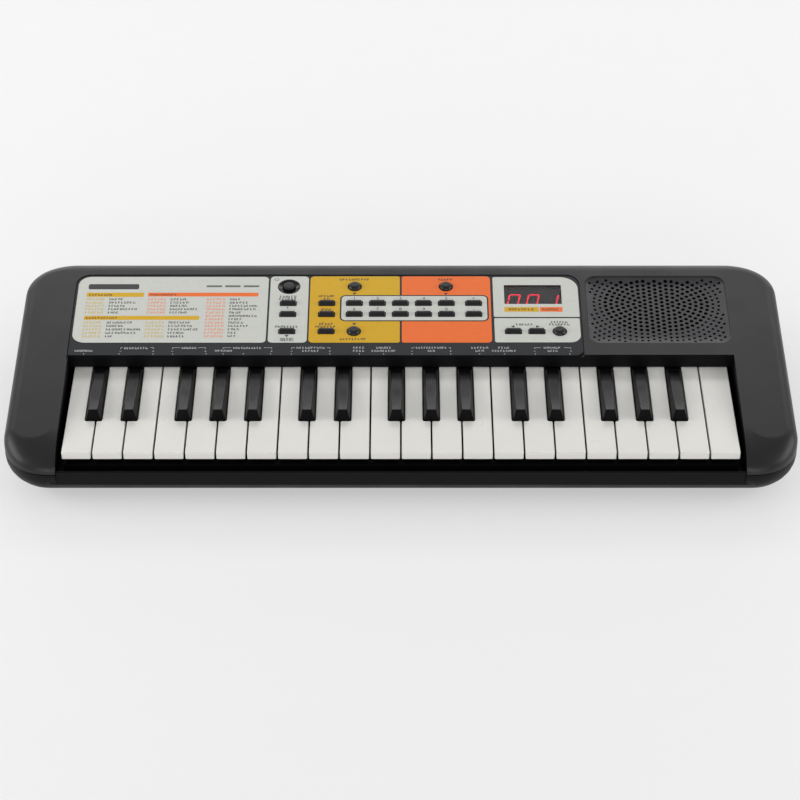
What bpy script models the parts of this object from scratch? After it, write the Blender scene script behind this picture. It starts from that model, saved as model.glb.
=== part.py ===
"""Toy electronic keyboard: 37 hinged mini keys, sprung buttons and their works in a two-part case.

Metres, +Z up, +X to the player's right, +Y away from the player. The origin is on the table, under the
middle of the case. The control panel, its buttons and the board below it lie on a sloping plane, so they
are parented to an empty on that plane: local X runs along the case, local Y up the slope, and local Z
out of the panel. Each key's origin is on its hinge, and each button's origin is on the panel plane.
"""

import math

import bmesh
import bpy
from mathutils import Vector

# Case
CASE_WIDTH = 0.506
CASE_DEPTH = 0.201
PARTING_Z = 0.025
BASE_Z = 0.0025
FRONT_CORNER_R = 0.030
REAR_CORNER_R = 0.034
SLOPE = math.radians(5.5)
FASCIA_Y = -0.001
PANEL_FRONT_Z = 0.0461
DECK_PROUD = 0.0005
UPPER_WALL = 0.003
LOWER_WALL = 0.0022
GAP = 0.0003
UPPER_ROUNDING = {"side": (0.008, 0.008), "front": (0.030, 0.0115), "rear": (0.016, 0.016)}
LOWER_ROUNDING = {"side": (0.026, 0.0205), "front": (0.026, 0.0205), "rear": (0.014, 0.011)}
CORNER_STEPS = 7
ROUNDING_STEPS = 4
CIRCLE_STEPS = 12
BEYOND = 0.005  # how far a cutter runs past the surface that it cuts

# Keybed opening
KEYBED_HALF_WIDTH = 0.2182
FASCIA_FOOT_Z = 0.0367
FASCIA_THICKNESS = 0.0022
LIP_FRONT_Y = -0.099
LIP_TOP_Z = 0.0259
LIP_BOTTOM_Z = 0.0165

# Keys
WHITE_KEYS = 22
KEYBED_WIDTH = 0.430
KEY_GAP = 0.00115
WHITE_FRONT_Y = -0.0915
WHITE_TOP_Z = 0.036
KEY_THICKNESS = 0.005
KEY_CHAMFER = 0.0005
NOTCH_Y = -0.0585
BLACK_FRONT_Y = -0.0579
BLACK_CREST_Y = -0.0562
BLACK_REAR_Y = -0.0045
BLACK_CREST_Z = 0.0434
BLACK_REAR_Z = 0.038
BLACK_HALF_BASE = 0.0051
BLACK_HALF_CREST = 0.00285
BLACK_HALF_REAR = 0.0036
BLACK_HALF_TAIL = 0.0046
BLACK_SIDE_GAP = 0.00045
HINGE_Y = 0.024
HINGE_Z = 0.029
KNUCKLE_R = 0.0022
OCTAVE = ("C", "D", "E", "F", "G", "A", "B")
# A black key's centre, to the right of the gap between the white keys that it is named between
BLACK_OFFSETS = {"C": -0.00155, "D": 0.00175, "F": -0.0028, "G": 0.0, "A": 0.0028}

# Key chassis
CHASSIS_HALF_WIDTH = 0.214
CHASSIS_FRONT_Y = -0.089
CHASSIS_REAR_Y = 0.031
CHASSIS_TOP_Z = 0.025
CHASSIS_PLATE = 0.0018
CHASSIS_SKIRT_Z = 0.014
RAIL_FRONT_Y = 0.018
RAIL_TOP_Z = 0.0304
STRIP_Y = (-0.025, -0.010)
STRIP_Z = (0.0253, 0.0263)
DOME_TOP_Z = 0.0283
DOME_HALF = (0.003, 0.002)

# Panel plane: X and up-slope ranges, and depths below the plane
PANEL_X = (-0.2186, 0.120)
PANEL_S = (0.0003, 0.0815)
PANEL_THICKNESS = 0.001
PANEL_RADII = (0.0005, 0.005, 0.0098, 0.0098)
WINDOW_X = (0.0694, 0.1078)
WINDOW_S = (0.0518, 0.0713)
LENS_DEPTH = (0.0006, 0.0022)
RECESS_X = (0.1244, 0.2180)
RECESS_S = (0.0125, 0.080)
RECESS_R = 0.008
RECESS_DEPTH = 0.002
RECESS_WALL = 0.0022
RECESS_FILLET = 0.004
SMALL_R = 0.0005
SPEAKER_CENTRE = (0.1712, 0.054)
SPEAKER_FLANGE_R = 0.029
BOARD_X = (-0.092, 0.1125)
BOARD_S = (0.012, 0.084)
BOARD_DEPTH = (0.0082, 0.0098)
DIGITS_DEPTH = 0.0056
SOCKET_X = (0.060, 0.084)
SOCKET_Y = (0.079, 0.087, 0.0968)
HEADPHONE_X = 0.065
USB_X = 0.0775
SOCKET_Z = (0.028, 0.038)
RISER_TOP_Z = 0.0448
HEADPHONE_R = 0.0034
USB_HALF = (0.0045, 0.002)

# Buttons
CAP_HEIGHT = 0.002
CAP_HALF = (0.0053, 0.0022)
CAP_TOP_HALF = (0.0046, 0.00095)
FLANGE_DEPTH = (0.0028, 0.0038)
FLANGE_MARGIN = 0.0015
STEM_DEPTH = 0.0069
STEM_HALF = 0.0015
BUTTON_CLEARANCE = 0.00035
BUTTON_R = 0.00445
BUTTON_FLAT_R = 0.0028
BUTTON_HEIGHT = 0.0022
POWER_R = 0.0038
POWER_HEIGHT = 0.0012
POWER_DISH_R = 0.0073
BAR_BUTTONS = {
    "volume_up_button": (-0.0754, 0.0522),
    "volume_down_button": (-0.0754, 0.0409),
    "function_button": (-0.0755, 0.0236),
    "tempo_button": (-0.0496, 0.0522),
    "mute_button": (-0.0496, 0.0409),
    "fill_button": (-0.0495, 0.0236),
    "octave_down_button": (0.0745, 0.0236),
    "octave_up_button": (0.0900, 0.0236),
}
ROUND_BUTTONS = {
    "song_style_button": (-0.0311, 0.06975),
    "voice_button": (0.0303, 0.06975),
    "start_stop_button": (-0.0312, 0.02395),
    "portable_button": (0.1052, 0.02395),
}
POWER_BUTTON = (-0.0753, 0.0697)
PAD_COLUMNS = [-0.0311 + 0.01538 * i for i in range(5)] + [0.04865]
PAD_ROWS = (0.0522, 0.0410)
PAD_HOLE_MARGIN = 0.001
PAD_WEB_MARGIN = 0.0025

# Underside
FEET = [(-0.188, -0.0765), (0.188, -0.0765), (-0.188, 0.076), (0.188, 0.076)]
FOOT_R = 0.006
SCREWS = [(sign * x, y) for x, y in ((0.226, -0.068), (0.226, 0.062), (0.1185, 0.080)) for sign in (-1, 1)]
SCREW_POST_R = 0.0055
SCREW_POST_TOP_Z = 0.012
SCREW_HEAD_R = 0.0032
SCREW_HEAD_Z = 0.009
SCREW_HOLE_R = 0.0017
SCREW_BOSS_R = 0.0035
CHASSIS_POSTS = [(x, y) for x in (-0.150, 0.0, 0.150) for y in (-0.075, -0.005)]
CHASSIS_POST_R = 0.004
BAY_HALF_WIDTH = 0.031
BAY_Y = (0.014, 0.068)
BAY_TOP_Z = 0.0205
BAY_WALL = 0.0016
DOOR_THICKNESS = 0.0018
DOOR_HINGE_GAP = 0.0006
THUMB_HOLLOW_R = 0.006
THUMB_HOLLOW_INSET = 0.010

OBJECT_NAME = "toy_keyboard"


# --- Scene -----------------------------------------------------------------------------------------------


def clear_scene():
    for found in list(bpy.data.objects):
        bpy.data.objects.remove(found, do_unlink=True)


def make_collection(name):
    made = bpy.data.collections.new(name)
    bpy.context.scene.collection.children.link(made)
    return made


def make_material(name, colour, roughness, metallic=0.0, alpha=1.0):
    made = bpy.data.materials.new(name)
    made.use_nodes = True
    shader = made.node_tree.nodes["Principled BSDF"]
    shader.inputs["Base Color"].default_value = (*colour, 1.0)
    shader.inputs["Roughness"].default_value = roughness
    shader.inputs["Metallic"].default_value = metallic
    shader.inputs["Alpha"].default_value = alpha
    made.diffuse_color = (*colour, alpha)
    return made


clear_scene()
PARTS = make_collection(OBJECT_NAME)
CUTTERS = make_collection(OBJECT_NAME + "_cutters")
CHARCOAL = make_material("charcoal_plastic", (0.047, 0.047, 0.051), 0.42)
LOWER_BLACK = make_material("lower_black_plastic", (0.012, 0.012, 0.014), 0.45)
PANEL_GREY = make_material("panel_print", (0.045, 0.051, 0.056), 0.35)
WHITE_KEY = make_material("white_key_plastic", (0.73, 0.72, 0.69), 0.30)
BLACK_KEY = make_material("black_key_plastic", (0.018, 0.018, 0.020), 0.28)
BUTTON_GREY = make_material("button_plastic", (0.045, 0.045, 0.047), 0.40)
SMOKED = make_material("smoked_window", (0.02, 0.004, 0.004), 0.10, alpha=0.4)
BOARD_GREEN = make_material("board_laminate", (0.03, 0.16, 0.07), 0.50)
SPEAKER_STEEL = make_material("speaker_steel", (0.30, 0.30, 0.31), 0.35, metallic=0.9)
CHASSIS_GREY = make_material("chassis_plastic", (0.020, 0.020, 0.022), 0.60)
CONTACT_RUBBER = make_material("contact_rubber", (0.35, 0.35, 0.36), 0.80)


# --- Meshes ----------------------------------------------------------------------------------------------


def add_object(name, mesh, material, location=(0, 0, 0), parent=None):
    """A visible piece, which becomes a node."""
    made = bpy.data.objects.new(name, mesh)
    mesh.materials.clear()
    mesh.materials.append(material)
    made.location = location
    made.parent = parent
    PARTS.objects.link(made)
    return made


def add_cutter(name, mesh, parent=None):
    """A helper for a Boolean, which no render shows."""
    made = bpy.data.objects.new(name, mesh)
    made.parent = parent
    made.hide_render = True
    made.display_type = "WIRE"
    CUTTERS.objects.link(made)
    return made


def finished_mesh(name, bm):
    bmesh.ops.recalc_face_normals(bm, faces=bm.faces)
    mesh = bpy.data.meshes.new(name)
    bm.to_mesh(mesh)
    bm.free()
    return mesh


def box_mesh(name, low, high):
    """An axis-aligned box between two corners."""
    low, high = Vector(low), Vector(high)
    bm = bmesh.new()
    bmesh.ops.create_cube(bm, size=1)
    bmesh.ops.scale(bm, vec=high - low, verts=bm.verts)
    bmesh.ops.translate(bm, vec=(low + high) / 2, verts=bm.verts)
    return finished_mesh(name, bm)


def post_mesh(name, places, radius, low, high):
    """Upright round posts, one at each (x, y) of places. They share one mesh but don't touch."""
    bm = bmesh.new()
    for x, y in places:
        made = bmesh.ops.create_cone(
            bm, cap_ends=True, segments=CIRCLE_STEPS, radius1=radius, radius2=radius, depth=high - low
        )
        bmesh.ops.translate(bm, vec=(x, y, (low + high) / 2), verts=made["verts"])
    return finished_mesh(name, bm)


def prism_mesh(name, outline, low, high):
    """A flat outline in local X and Y, extruded from low to high along local Z."""
    curve = bpy.data.curves.new(name, "CURVE")
    curve.dimensions = "2D"
    curve.fill_mode = "BOTH"
    curve.extrude = (high - low) / 2
    spline = curve.splines.new("POLY")
    spline.points.add(len(outline) - 1)
    for point, (x, y) in zip(spline.points, outline):
        point.co = (x, y, 0, 1)
    spline.use_cyclic_u = True
    holder = bpy.data.objects.new(name, curve)
    CUTTERS.objects.link(holder)
    bpy.context.view_layer.update()
    evaluated = holder.evaluated_get(bpy.context.evaluated_depsgraph_get())
    mesh = bpy.data.meshes.new_from_object(evaluated)
    bpy.data.objects.remove(holder, do_unlink=True)
    bm = bmesh.new()
    bm.from_mesh(mesh)
    bpy.data.meshes.remove(mesh)
    bmesh.ops.remove_doubles(bm, verts=bm.verts, dist=1e-6)
    bmesh.ops.translate(bm, vec=(0, 0, (low + high) / 2), verts=bm.verts)
    return finished_mesh(name, bm)


def loft_mesh(name, rings, open_start=False):
    """A skin over rings of equally many points, capped at both ends unless the first is left open."""
    bm = bmesh.new()
    loops = [[bm.verts.new(point) for point in ring] for ring in rings]
    count = len(rings[0])
    for lower, upper in zip(loops, loops[1:]):
        for i in range(count):
            j = (i + 1) % count
            bm.faces.new((lower[i], lower[j], upper[j], upper[i]))
    bm.faces.new(loops[-1])
    if not open_start:
        bm.faces.new(reversed(loops[0]))
    return finished_mesh(name, bm)


def turned_mesh(name, profile):
    """A profile of (radius, height) points, from the top down its outer side, turned about Z by a Screw."""
    mesh = bpy.data.meshes.new(name)
    edges = [(i, i + 1) for i in range(len(profile) - 1)]
    mesh.from_pydata([(r, 0, z) for r, z in profile], edges, [])
    holder = bpy.data.objects.new(name, mesh)
    CUTTERS.objects.link(holder)
    screw = holder.modifiers.new("turn", "SCREW")
    screw.steps = screw.render_steps = CIRCLE_STEPS
    screw.use_merge_vertices = True
    screw.merge_threshold = 1e-6
    made = baked_mesh(holder)
    bm = bmesh.new()
    bm.from_mesh(made)
    bpy.data.meshes.remove(made)
    return finished_mesh(name, bm)


def baked_mesh(holder):
    """The mesh that a helper's modifiers make. The helper is removed."""
    bpy.context.view_layer.update()
    evaluated = holder.evaluated_get(bpy.context.evaluated_depsgraph_get())
    mesh = bpy.data.meshes.new_from_object(evaluated)
    bpy.data.objects.remove(holder, do_unlink=True)
    return mesh


def boolean(target, tool, operation):
    modifier = target.modifiers.new(f"{operation.lower()} {tool.name}", "BOOLEAN")
    modifier.object = tool
    modifier.operation = operation


def solidify(target, thickness):
    """Thickens an open skin inwards."""
    modifier = target.modifiers.new("wall", "SOLIDIFY")
    modifier.thickness = thickness
    modifier.offset = -1
    modifier.use_even_offset = True


# --- Outlines --------------------------------------------------------------------------------------------


def arc(centre, radius, start_degrees, sweep_degrees, steps):
    """Points along an arc, both ends included, anticlockwise for a positive sweep."""
    angles = [math.radians(start_degrees + sweep_degrees * i / steps) for i in range(steps + 1)]
    return [(centre[0] + radius * math.cos(a), centre[1] + radius * math.sin(a)) for a in angles]


def rounded_rectangle(x_range, y_range, radii, steps=4):
    """Anticlockwise outline. The radii are front left, front right, rear right and rear left."""
    signs = ((-1, -1), (1, -1), (1, 1), (-1, 1))
    points = []
    for (sx, sy), radius, start in zip(signs, radii, (180, 270, 0, 90)):
        corner_x = x_range[1] if sx > 0 else x_range[0]
        corner_y = y_range[1] if sy > 0 else y_range[0]
        points += arc((corner_x - sx * radius, corner_y - sy * radius), radius, start, 90, steps)
    return points


def rectangle(x_half, y_half, z, centre=(0, 0)):
    """Four corners of a level rectangle, as one ring of a loft."""
    signs = ((-1, -1), (1, -1), (1, 1), (-1, 1))
    return [(centre[0] + sx * x_half, centre[1] + sy * y_half, z) for sx, sy in signs]


def deck_z(y):
    """Height of the case's sloping top."""
    return PANEL_FRONT_Z + DECK_PROUD + (y - FASCIA_Y) * math.tan(SLOPE)


def case_outline():
    """(point, outward normal) round the case's plan outline, anticlockwise."""
    corners = (
        (1, -1, FRONT_CORNER_R, -90),
        (1, 1, REAR_CORNER_R, 0),
        (-1, 1, REAR_CORNER_R, 90),
        (-1, -1, FRONT_CORNER_R, 180),
    )
    found = []
    for sx, sy, radius, start in corners:
        centre = Vector((sx * (CASE_WIDTH / 2 - radius), sy * (CASE_DEPTH / 2 - radius)))
        for i in range(CORNER_STEPS + 1):
            angle = math.radians(start + 90 * i / CORNER_STEPS)
            normal = Vector((math.cos(angle), math.sin(angle)))
            found.append((centre + radius * normal, normal))
    return found


def edge_rounding(rounding, normal):
    """(inward, upward) extent of the edge's rounding, blended round the corners."""
    end = rounding["front" if normal.y < 0 else "rear"]
    share = normal.y * normal.y
    return [side * (1 - share) + far * share for side, far in zip(rounding["side"], end)]


def case_rings(rounding, wall_z, flat_z, downwards=False):
    """Rings of half of the case: from the parting line up, or down, the wall and over the rounded edge."""
    sense = -1 if downwards else 1
    rings = [[(p.x, p.y, wall_z) for p, _ in case_outline()]]
    for step in range(ROUNDING_STEPS + 1):
        angle = math.pi / 2 * step / ROUNDING_STEPS
        ring = []
        for point, normal in case_outline():
            inward, upward = edge_rounding(rounding, normal)
            place = point - normal * inward * (1 - math.cos(angle))
            z = flat_z(place.y) - sense * upward * (1 - math.sin(angle))
            ring.append((place.x, place.y, z))
        rings.append(ring)
    return rings


# --- Case ------------------------------------------------------------------------------------------------


def pad_range(margin):
    """X and up-slope ranges of the block of number caps, with a margin round it."""
    half_x, half_s = (half + margin for half in CAP_HALF)
    return (PAD_COLUMNS[0] - half_x, PAD_COLUMNS[-1] + half_x), (PAD_ROWS[1] - half_s, PAD_ROWS[0] + half_s)


def button_holes(bar_places, power_radius):
    """Outlines of the holes for bar caps at these places, round caps, the power button and the display."""
    half_x, half_s = (half + BUTTON_CLEARANCE for half in CAP_HALF)
    holes = [[point[:2] for point in rectangle(half_x, half_s, 0, place)] for place in bar_places]
    circles = [(place, BUTTON_R) for place in ROUND_BUTTONS.values()] + [(POWER_BUTTON, power_radius)]
    holes += [arc(place, radius + BUTTON_CLEARANCE, 0, 360, CIRCLE_STEPS)[:-1] for place, radius in circles]
    return [*holes, rounded_rectangle(WINDOW_X, WINDOW_S, (SMALL_R,) * 4, steps=2)]


def window_cutter(name, outlines, parent):
    """One cutter that holds every hole, as prisms that don't touch."""
    bm = bmesh.new()
    for outline in outlines:
        piece = prism_mesh(name, outline, -BEYOND, BEYOND)
        bm.from_mesh(piece)
        bpy.data.meshes.remove(piece)
    return add_cutter(name, finished_mesh(name, bm), parent)


def add_keybed_walls(case, rings):
    """The fascia and the arms' inner walls, kept inside the case's own outer surface."""
    inner = KEYBED_HALF_WIDTH + FASCIA_THICKNESS
    over = deck_z(CASE_DEPTH / 2) + BEYOND
    low = (-inner, -CASE_DEPTH / 2 - BEYOND, PARTING_Z)
    walls = box_mesh("keybed_walls", low, (inner, FASCIA_Y + FASCIA_THICKNESS, over))
    surround = add_cutter("keybed_walls", walls)
    boolean(surround, add_cutter("case_body", loft_mesh("case_body", rings)), "INTERSECT")
    boolean(case, surround, "UNION")


def cut_keybed(case):
    """Clears the space between the arms, and the slot under the fascia that the keys run through."""
    over = deck_z(CASE_DEPTH / 2) + BEYOND
    low = (-KEYBED_HALF_WIDTH, -CASE_DEPTH / 2 - BEYOND, PARTING_Z - BEYOND)
    space = box_mesh("keybed_space", low, (KEYBED_HALF_WIDTH, FASCIA_Y, over))
    boolean(case, add_cutter("keybed_space", space), "DIFFERENCE")
    low = (-KEYBED_HALF_WIDTH, FASCIA_Y - BEYOND, PARTING_Z - BEYOND)
    slot = box_mesh("key_slot", low, (KEYBED_HALF_WIDTH, FASCIA_Y + BEYOND, FASCIA_FOOT_Z))
    boolean(case, add_cutter("key_slot", slot), "DIFFERENCE")


def recess_outline(inset):
    x_range, s_range = ((low + inset, high - inset) for low, high in (RECESS_X, RECESS_S))
    return rounded_rectangle(x_range, s_range, (RECESS_R - inset / 2,) * 4)


def add_grille_backing(case, plane):
    """Thickens the deck where the speaker's recess is sunk into it."""
    low, high = -RECESS_DEPTH - RECESS_WALL, -UPPER_WALL / 3
    backing = prism_mesh("grille_backing", recess_outline(-RECESS_WALL), low, high)
    boolean(case, add_cutter("grille_backing", backing, plane), "UNION")


def cut_recesses(case, plane):
    """Sinks the panel's bed and the speaker's dished recess into the deck."""
    outline = rounded_rectangle(
        (PANEL_X[0] - GAP, PANEL_X[1] + GAP), (PANEL_S[0] - BEYOND, PANEL_S[1] + GAP), PANEL_RADII
    )
    bed = prism_mesh("panel_bed", outline, -PANEL_THICKNESS - GAP, BEYOND)
    boolean(case, add_cutter("panel_bed", bed, plane), "DIFFERENCE")

    # (inset from the rim, height above the panel plane), from over the deck down the wall to the floor
    levels = ((0, BEYOND), (0, 0), (RECESS_FILLET / 3, -RECESS_DEPTH * 0.6), (RECESS_FILLET, -RECESS_DEPTH))
    rings = [[(x, s, z) for x, s in recess_outline(inset)] for inset, z in levels]
    boolean(case, add_cutter("grille_recess", loft_mesh("grille_recess", rings), plane), "DIFFERENCE")


def cut_rear_sockets(case):
    """The openings that a headphone plug and a power plug go through."""
    z = sum(SOCKET_Z) / 2
    rear = CASE_DEPTH / 2
    usb_low = (USB_X - USB_HALF[0], rear - BEYOND, z - USB_HALF[1])
    usb = box_mesh("usb_opening", usb_low, (USB_X + USB_HALF[0], rear + BEYOND, z + USB_HALF[1]))
    boolean(case, add_cutter("usb_opening", usb), "DIFFERENCE")
    phones = add_cutter(
        "headphone_opening", post_mesh("headphone_opening", [(0, 0)], HEADPHONE_R, -BEYOND, BEYOND)
    )
    phones.rotation_euler = (math.pi / 2, 0, 0)
    phones.location = (HEADPHONE_X, rear, z)
    boolean(case, phones, "DIFFERENCE")


def make_upper_case(plane):
    rings = case_rings(UPPER_ROUNDING, PARTING_Z, deck_z)
    case = add_object("upper_case", loft_mesh("upper_case", rings, open_start=True), CHARCOAL)
    solidify(case, UPPER_WALL)
    add_keybed_walls(case, rings)
    add_grille_backing(case, plane)
    for i, (x, y) in enumerate(SCREWS):
        name = f"screw_boss_{i}"
        boss = post_mesh(name, [(x, y)], SCREW_BOSS_R, SCREW_POST_TOP_Z + GAP, deck_z(y) - UPPER_WALL / 2)
        boolean(case, add_cutter(name, boss), "UNION")
    cut_keybed(case)
    cut_recesses(case, plane)
    pad_hole = rounded_rectangle(*pad_range(PAD_HOLE_MARGIN), (PAD_HOLE_MARGIN,) * 4, steps=2)
    holes = [*button_holes(BAR_BUTTONS.values(), POWER_R), pad_hole]
    boolean(case, window_cutter("deck_windows", holes, plane), "DIFFERENCE")
    cut_rear_sockets(case)


def make_lower_case():
    rings = case_rings(LOWER_ROUNDING, PARTING_Z - GAP, lambda y: BASE_Z, downwards=True)
    case = add_object("lower_case", loft_mesh("lower_case", rings, open_start=True), LOWER_BLACK)
    solidify(case, LOWER_WALL)
    floor_z = BASE_Z + LOWER_WALL / 2
    under_chassis_z = CHASSIS_TOP_Z - CHASSIS_PLATE - GAP

    lip = box_mesh(
        "front_lip",
        (-KEYBED_HALF_WIDTH + GAP, LIP_FRONT_Y - LOWER_WALL / 4, LIP_BOTTOM_Z),
        (KEYBED_HALF_WIDTH - GAP, LIP_FRONT_Y + LOWER_WALL, LIP_TOP_Z),
    )
    bay = box_mesh(
        "battery_box",
        (-BAY_HALF_WIDTH - BAY_WALL, BAY_Y[0] - BAY_WALL, BASE_Z + LOWER_WALL / 4),
        (BAY_HALF_WIDTH + BAY_WALL, BAY_Y[1] + BAY_WALL, BAY_TOP_Z + BAY_WALL),
    )
    for piece in (
        lip,
        bay,
        post_mesh("screw_posts", SCREWS, SCREW_POST_R, floor_z, SCREW_POST_TOP_Z),
        post_mesh("chassis_posts", CHASSIS_POSTS, CHASSIS_POST_R, floor_z, under_chassis_z),
        post_mesh("feet", FEET, FOOT_R, 0, floor_z),
    ):
        boolean(case, add_cutter(piece.name, piece), "UNION")

    under = -BEYOND
    step_low = (-KEYBED_HALF_WIDTH, -CASE_DEPTH / 2 - BEYOND, under)
    for piece in (
        box_mesh("lip_step", step_low, (KEYBED_HALF_WIDTH, LIP_FRONT_Y, LIP_TOP_Z + BEYOND)),
        box_mesh("battery_space", (-BAY_HALF_WIDTH, BAY_Y[0], under), (BAY_HALF_WIDTH, BAY_Y[1], BAY_TOP_Z)),
        post_mesh("screw_heads", SCREWS, SCREW_HEAD_R, under, SCREW_HEAD_Z),
        post_mesh("screw_holes", SCREWS, SCREW_HOLE_R, under, SCREW_POST_TOP_Z + BEYOND),
    ):
        boolean(case, add_cutter(piece.name, piece), "DIFFERENCE")


def make_battery_door():
    """Origin in the middle of the edge that its tabs hook into, where it swings."""
    half_depth = DOOR_THICKNESS / 2
    pivot = (0, BAY_Y[0] + DOOR_HINGE_GAP + half_depth, BASE_Z + half_depth)
    half = BAY_HALF_WIDTH - GAP
    reach = BAY_Y[1] - GAP - pivot[1]
    plate = box_mesh("battery_door", (-half, -half_depth, -half_depth), (half, reach, half_depth))
    door = add_object("battery_door", plate, LOWER_BLACK, location=pivot)
    places = [(0, reach - THUMB_HOLLOW_INSET)]
    dent = post_mesh("thumb_hollow", places, THUMB_HOLLOW_R, -BEYOND, -half_depth / 3)
    hollow = add_cutter("thumb_hollow", dent)
    hollow.location = pivot
    boolean(door, hollow, "DIFFERENCE")


# --- Keys ------------------------------------------------------------------------------------------------


def white_key_mesh(name, left_edge, right_edge):
    """A white key about its hinge. left_edge and right_edge are the sides of its shank, where it narrows."""
    half = (KEYBED_WIDTH / WHITE_KEYS - KEY_GAP) / 2
    front, notch, rear = (y - HINGE_Y for y in (WHITE_FRONT_Y, NOTCH_Y, HINGE_Y + KNUCKLE_R))
    outline = [(-half, front), (half, front)]
    if right_edge < half:
        outline += [(half, notch), (right_edge, notch)]
    outline += [(right_edge, rear), (left_edge, rear)]
    if left_edge > -half:
        outline += [(left_edge, notch), (-half, notch)]
    top = WHITE_TOP_Z - HINGE_Z
    holder = bpy.data.objects.new(name, prism_mesh(name, outline, top - KEY_THICKNESS, top))
    CUTTERS.objects.link(holder)
    bevel = holder.modifiers.new("edges", "BEVEL")
    bevel.width = KEY_CHAMFER
    bevel.segments = 1
    bevel.limit_method = "ANGLE"
    knuckle = add_cutter("knuckle", knuckle_mesh(left_edge + KEY_CHAMFER, right_edge - KEY_CHAMFER))
    boolean(holder, knuckle, "UNION")
    mesh = baked_mesh(holder)
    bpy.data.objects.remove(knuckle, do_unlink=True)
    mesh.name = name
    return mesh


def black_key_mesh(name):
    """A black key about its hinge: hexagonal sections along its length, from the front to the tail."""
    bottom = WHITE_TOP_Z - KEY_THICKNESS
    shoulder = WHITE_TOP_Z
    tongue = WHITE_TOP_Z - KEY_CHAMFER
    sections = (
        (BLACK_FRONT_Y, BLACK_HALF_BASE, shoulder - KEY_CHAMFER, BLACK_HALF_BASE - KEY_CHAMFER, shoulder),
        (BLACK_CREST_Y, BLACK_HALF_BASE, shoulder, BLACK_HALF_CREST, BLACK_CREST_Z),
        (BLACK_REAR_Y, BLACK_HALF_BASE, shoulder, BLACK_HALF_REAR, BLACK_REAR_Z),
        (BLACK_REAR_Y + KEY_CHAMFER, BLACK_HALF_BASE, tongue, BLACK_HALF_TAIL, shoulder),
        (BLACK_REAR_Y + 2 * KEY_CHAMFER, BLACK_HALF_TAIL, tongue, BLACK_HALF_TAIL - KEY_CHAMFER, shoulder),
        (HINGE_Y + KNUCKLE_R, BLACK_HALF_TAIL, tongue, BLACK_HALF_TAIL - KEY_CHAMFER, shoulder),
    )
    rings = []
    for y, base, base_z, crest, crest_z in sections:
        half = ((base, bottom), (base, base_z), (crest, crest_z))
        points = list(half) + [(-x, z) for x, z in reversed(half)]
        rings.append([(x, y - HINGE_Y, z - HINGE_Z) for x, z in points])
    holder = bpy.data.objects.new(name, loft_mesh(name, rings))
    CUTTERS.objects.link(holder)
    edge = BLACK_HALF_TAIL - KEY_CHAMFER
    knuckle = add_cutter("knuckle", knuckle_mesh(-edge, edge))
    boolean(holder, knuckle, "UNION")
    mesh = baked_mesh(holder)
    bpy.data.objects.remove(knuckle, do_unlink=True)
    mesh.name = name
    return mesh


def knuckle_mesh(left, right):
    """The round-bottomed lobe under a key's tail that rocks in the chassis groove, about the hinge line."""
    reach = WHITE_TOP_Z - KEY_THICKNESS - HINGE_Z + KEY_CHAMFER * 2
    side = [(KNUCKLE_R, reach), (-KNUCKLE_R, reach)] + arc((0, 0), KNUCKLE_R, 180, 180, 6)
    rings = [[(x, y, z) for y, z in side] for x in (left, right)]
    return loft_mesh("knuckle", rings)


def boundary_x(index):
    """X of the gap to the left of white key number index."""
    return -KEYBED_WIDTH / 2 + index * KEYBED_WIDTH / WHITE_KEYS


def make_keys():
    """White keys C1 to C4 and the black keys between them. A shape that repeats shares its mesh."""
    half = (KEYBED_WIDTH / WHITE_KEYS - KEY_GAP) / 2
    middle = KEYBED_WIDTH / WHITE_KEYS / 2
    clear = BLACK_HALF_BASE + BLACK_SIDE_GAP
    meshes = {}
    for index in range(WHITE_KEYS):
        letter = OCTAVE[index % 7]
        before = OCTAVE[(index - 1) % 7] if index else None
        left_edge, right_edge = -half, half
        if before in BLACK_OFFSETS:
            left_edge = BLACK_OFFSETS[before] + clear - middle
        if letter in BLACK_OFFSETS and index < WHITE_KEYS - 1:
            right_edge = middle + BLACK_OFFSETS[letter] - clear
        shape = (round(left_edge, 6), round(right_edge, 6))
        if shape not in meshes:
            meshes[shape] = white_key_mesh(f"white_key_{letter}_{len(meshes)}", left_edge, right_edge)
        name = f"white_key_{letter.lower()}{index // 7 + 1}"
        add_object(name, meshes[shape], WHITE_KEY, (boundary_x(index) + middle, HINGE_Y, HINGE_Z))

    black = black_key_mesh("black_key")
    for index in range(WHITE_KEYS - 1):
        letter = OCTAVE[index % 7]
        if letter in BLACK_OFFSETS:
            x = boundary_x(index + 1) + BLACK_OFFSETS[letter]
            name = f"black_key_{letter.lower()}_sharp{index // 7 + 1}"
            add_object(name, black, BLACK_KEY, (x, HINGE_Y, HINGE_Z))


def side_profile_mesh(name, profile, half_width):
    """A profile of (y, z) points, extruded along X to half_width each side."""
    rings = [[(x, y, z) for y, z in profile] for x in (-half_width, half_width)]
    return loft_mesh(name, rings)


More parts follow.
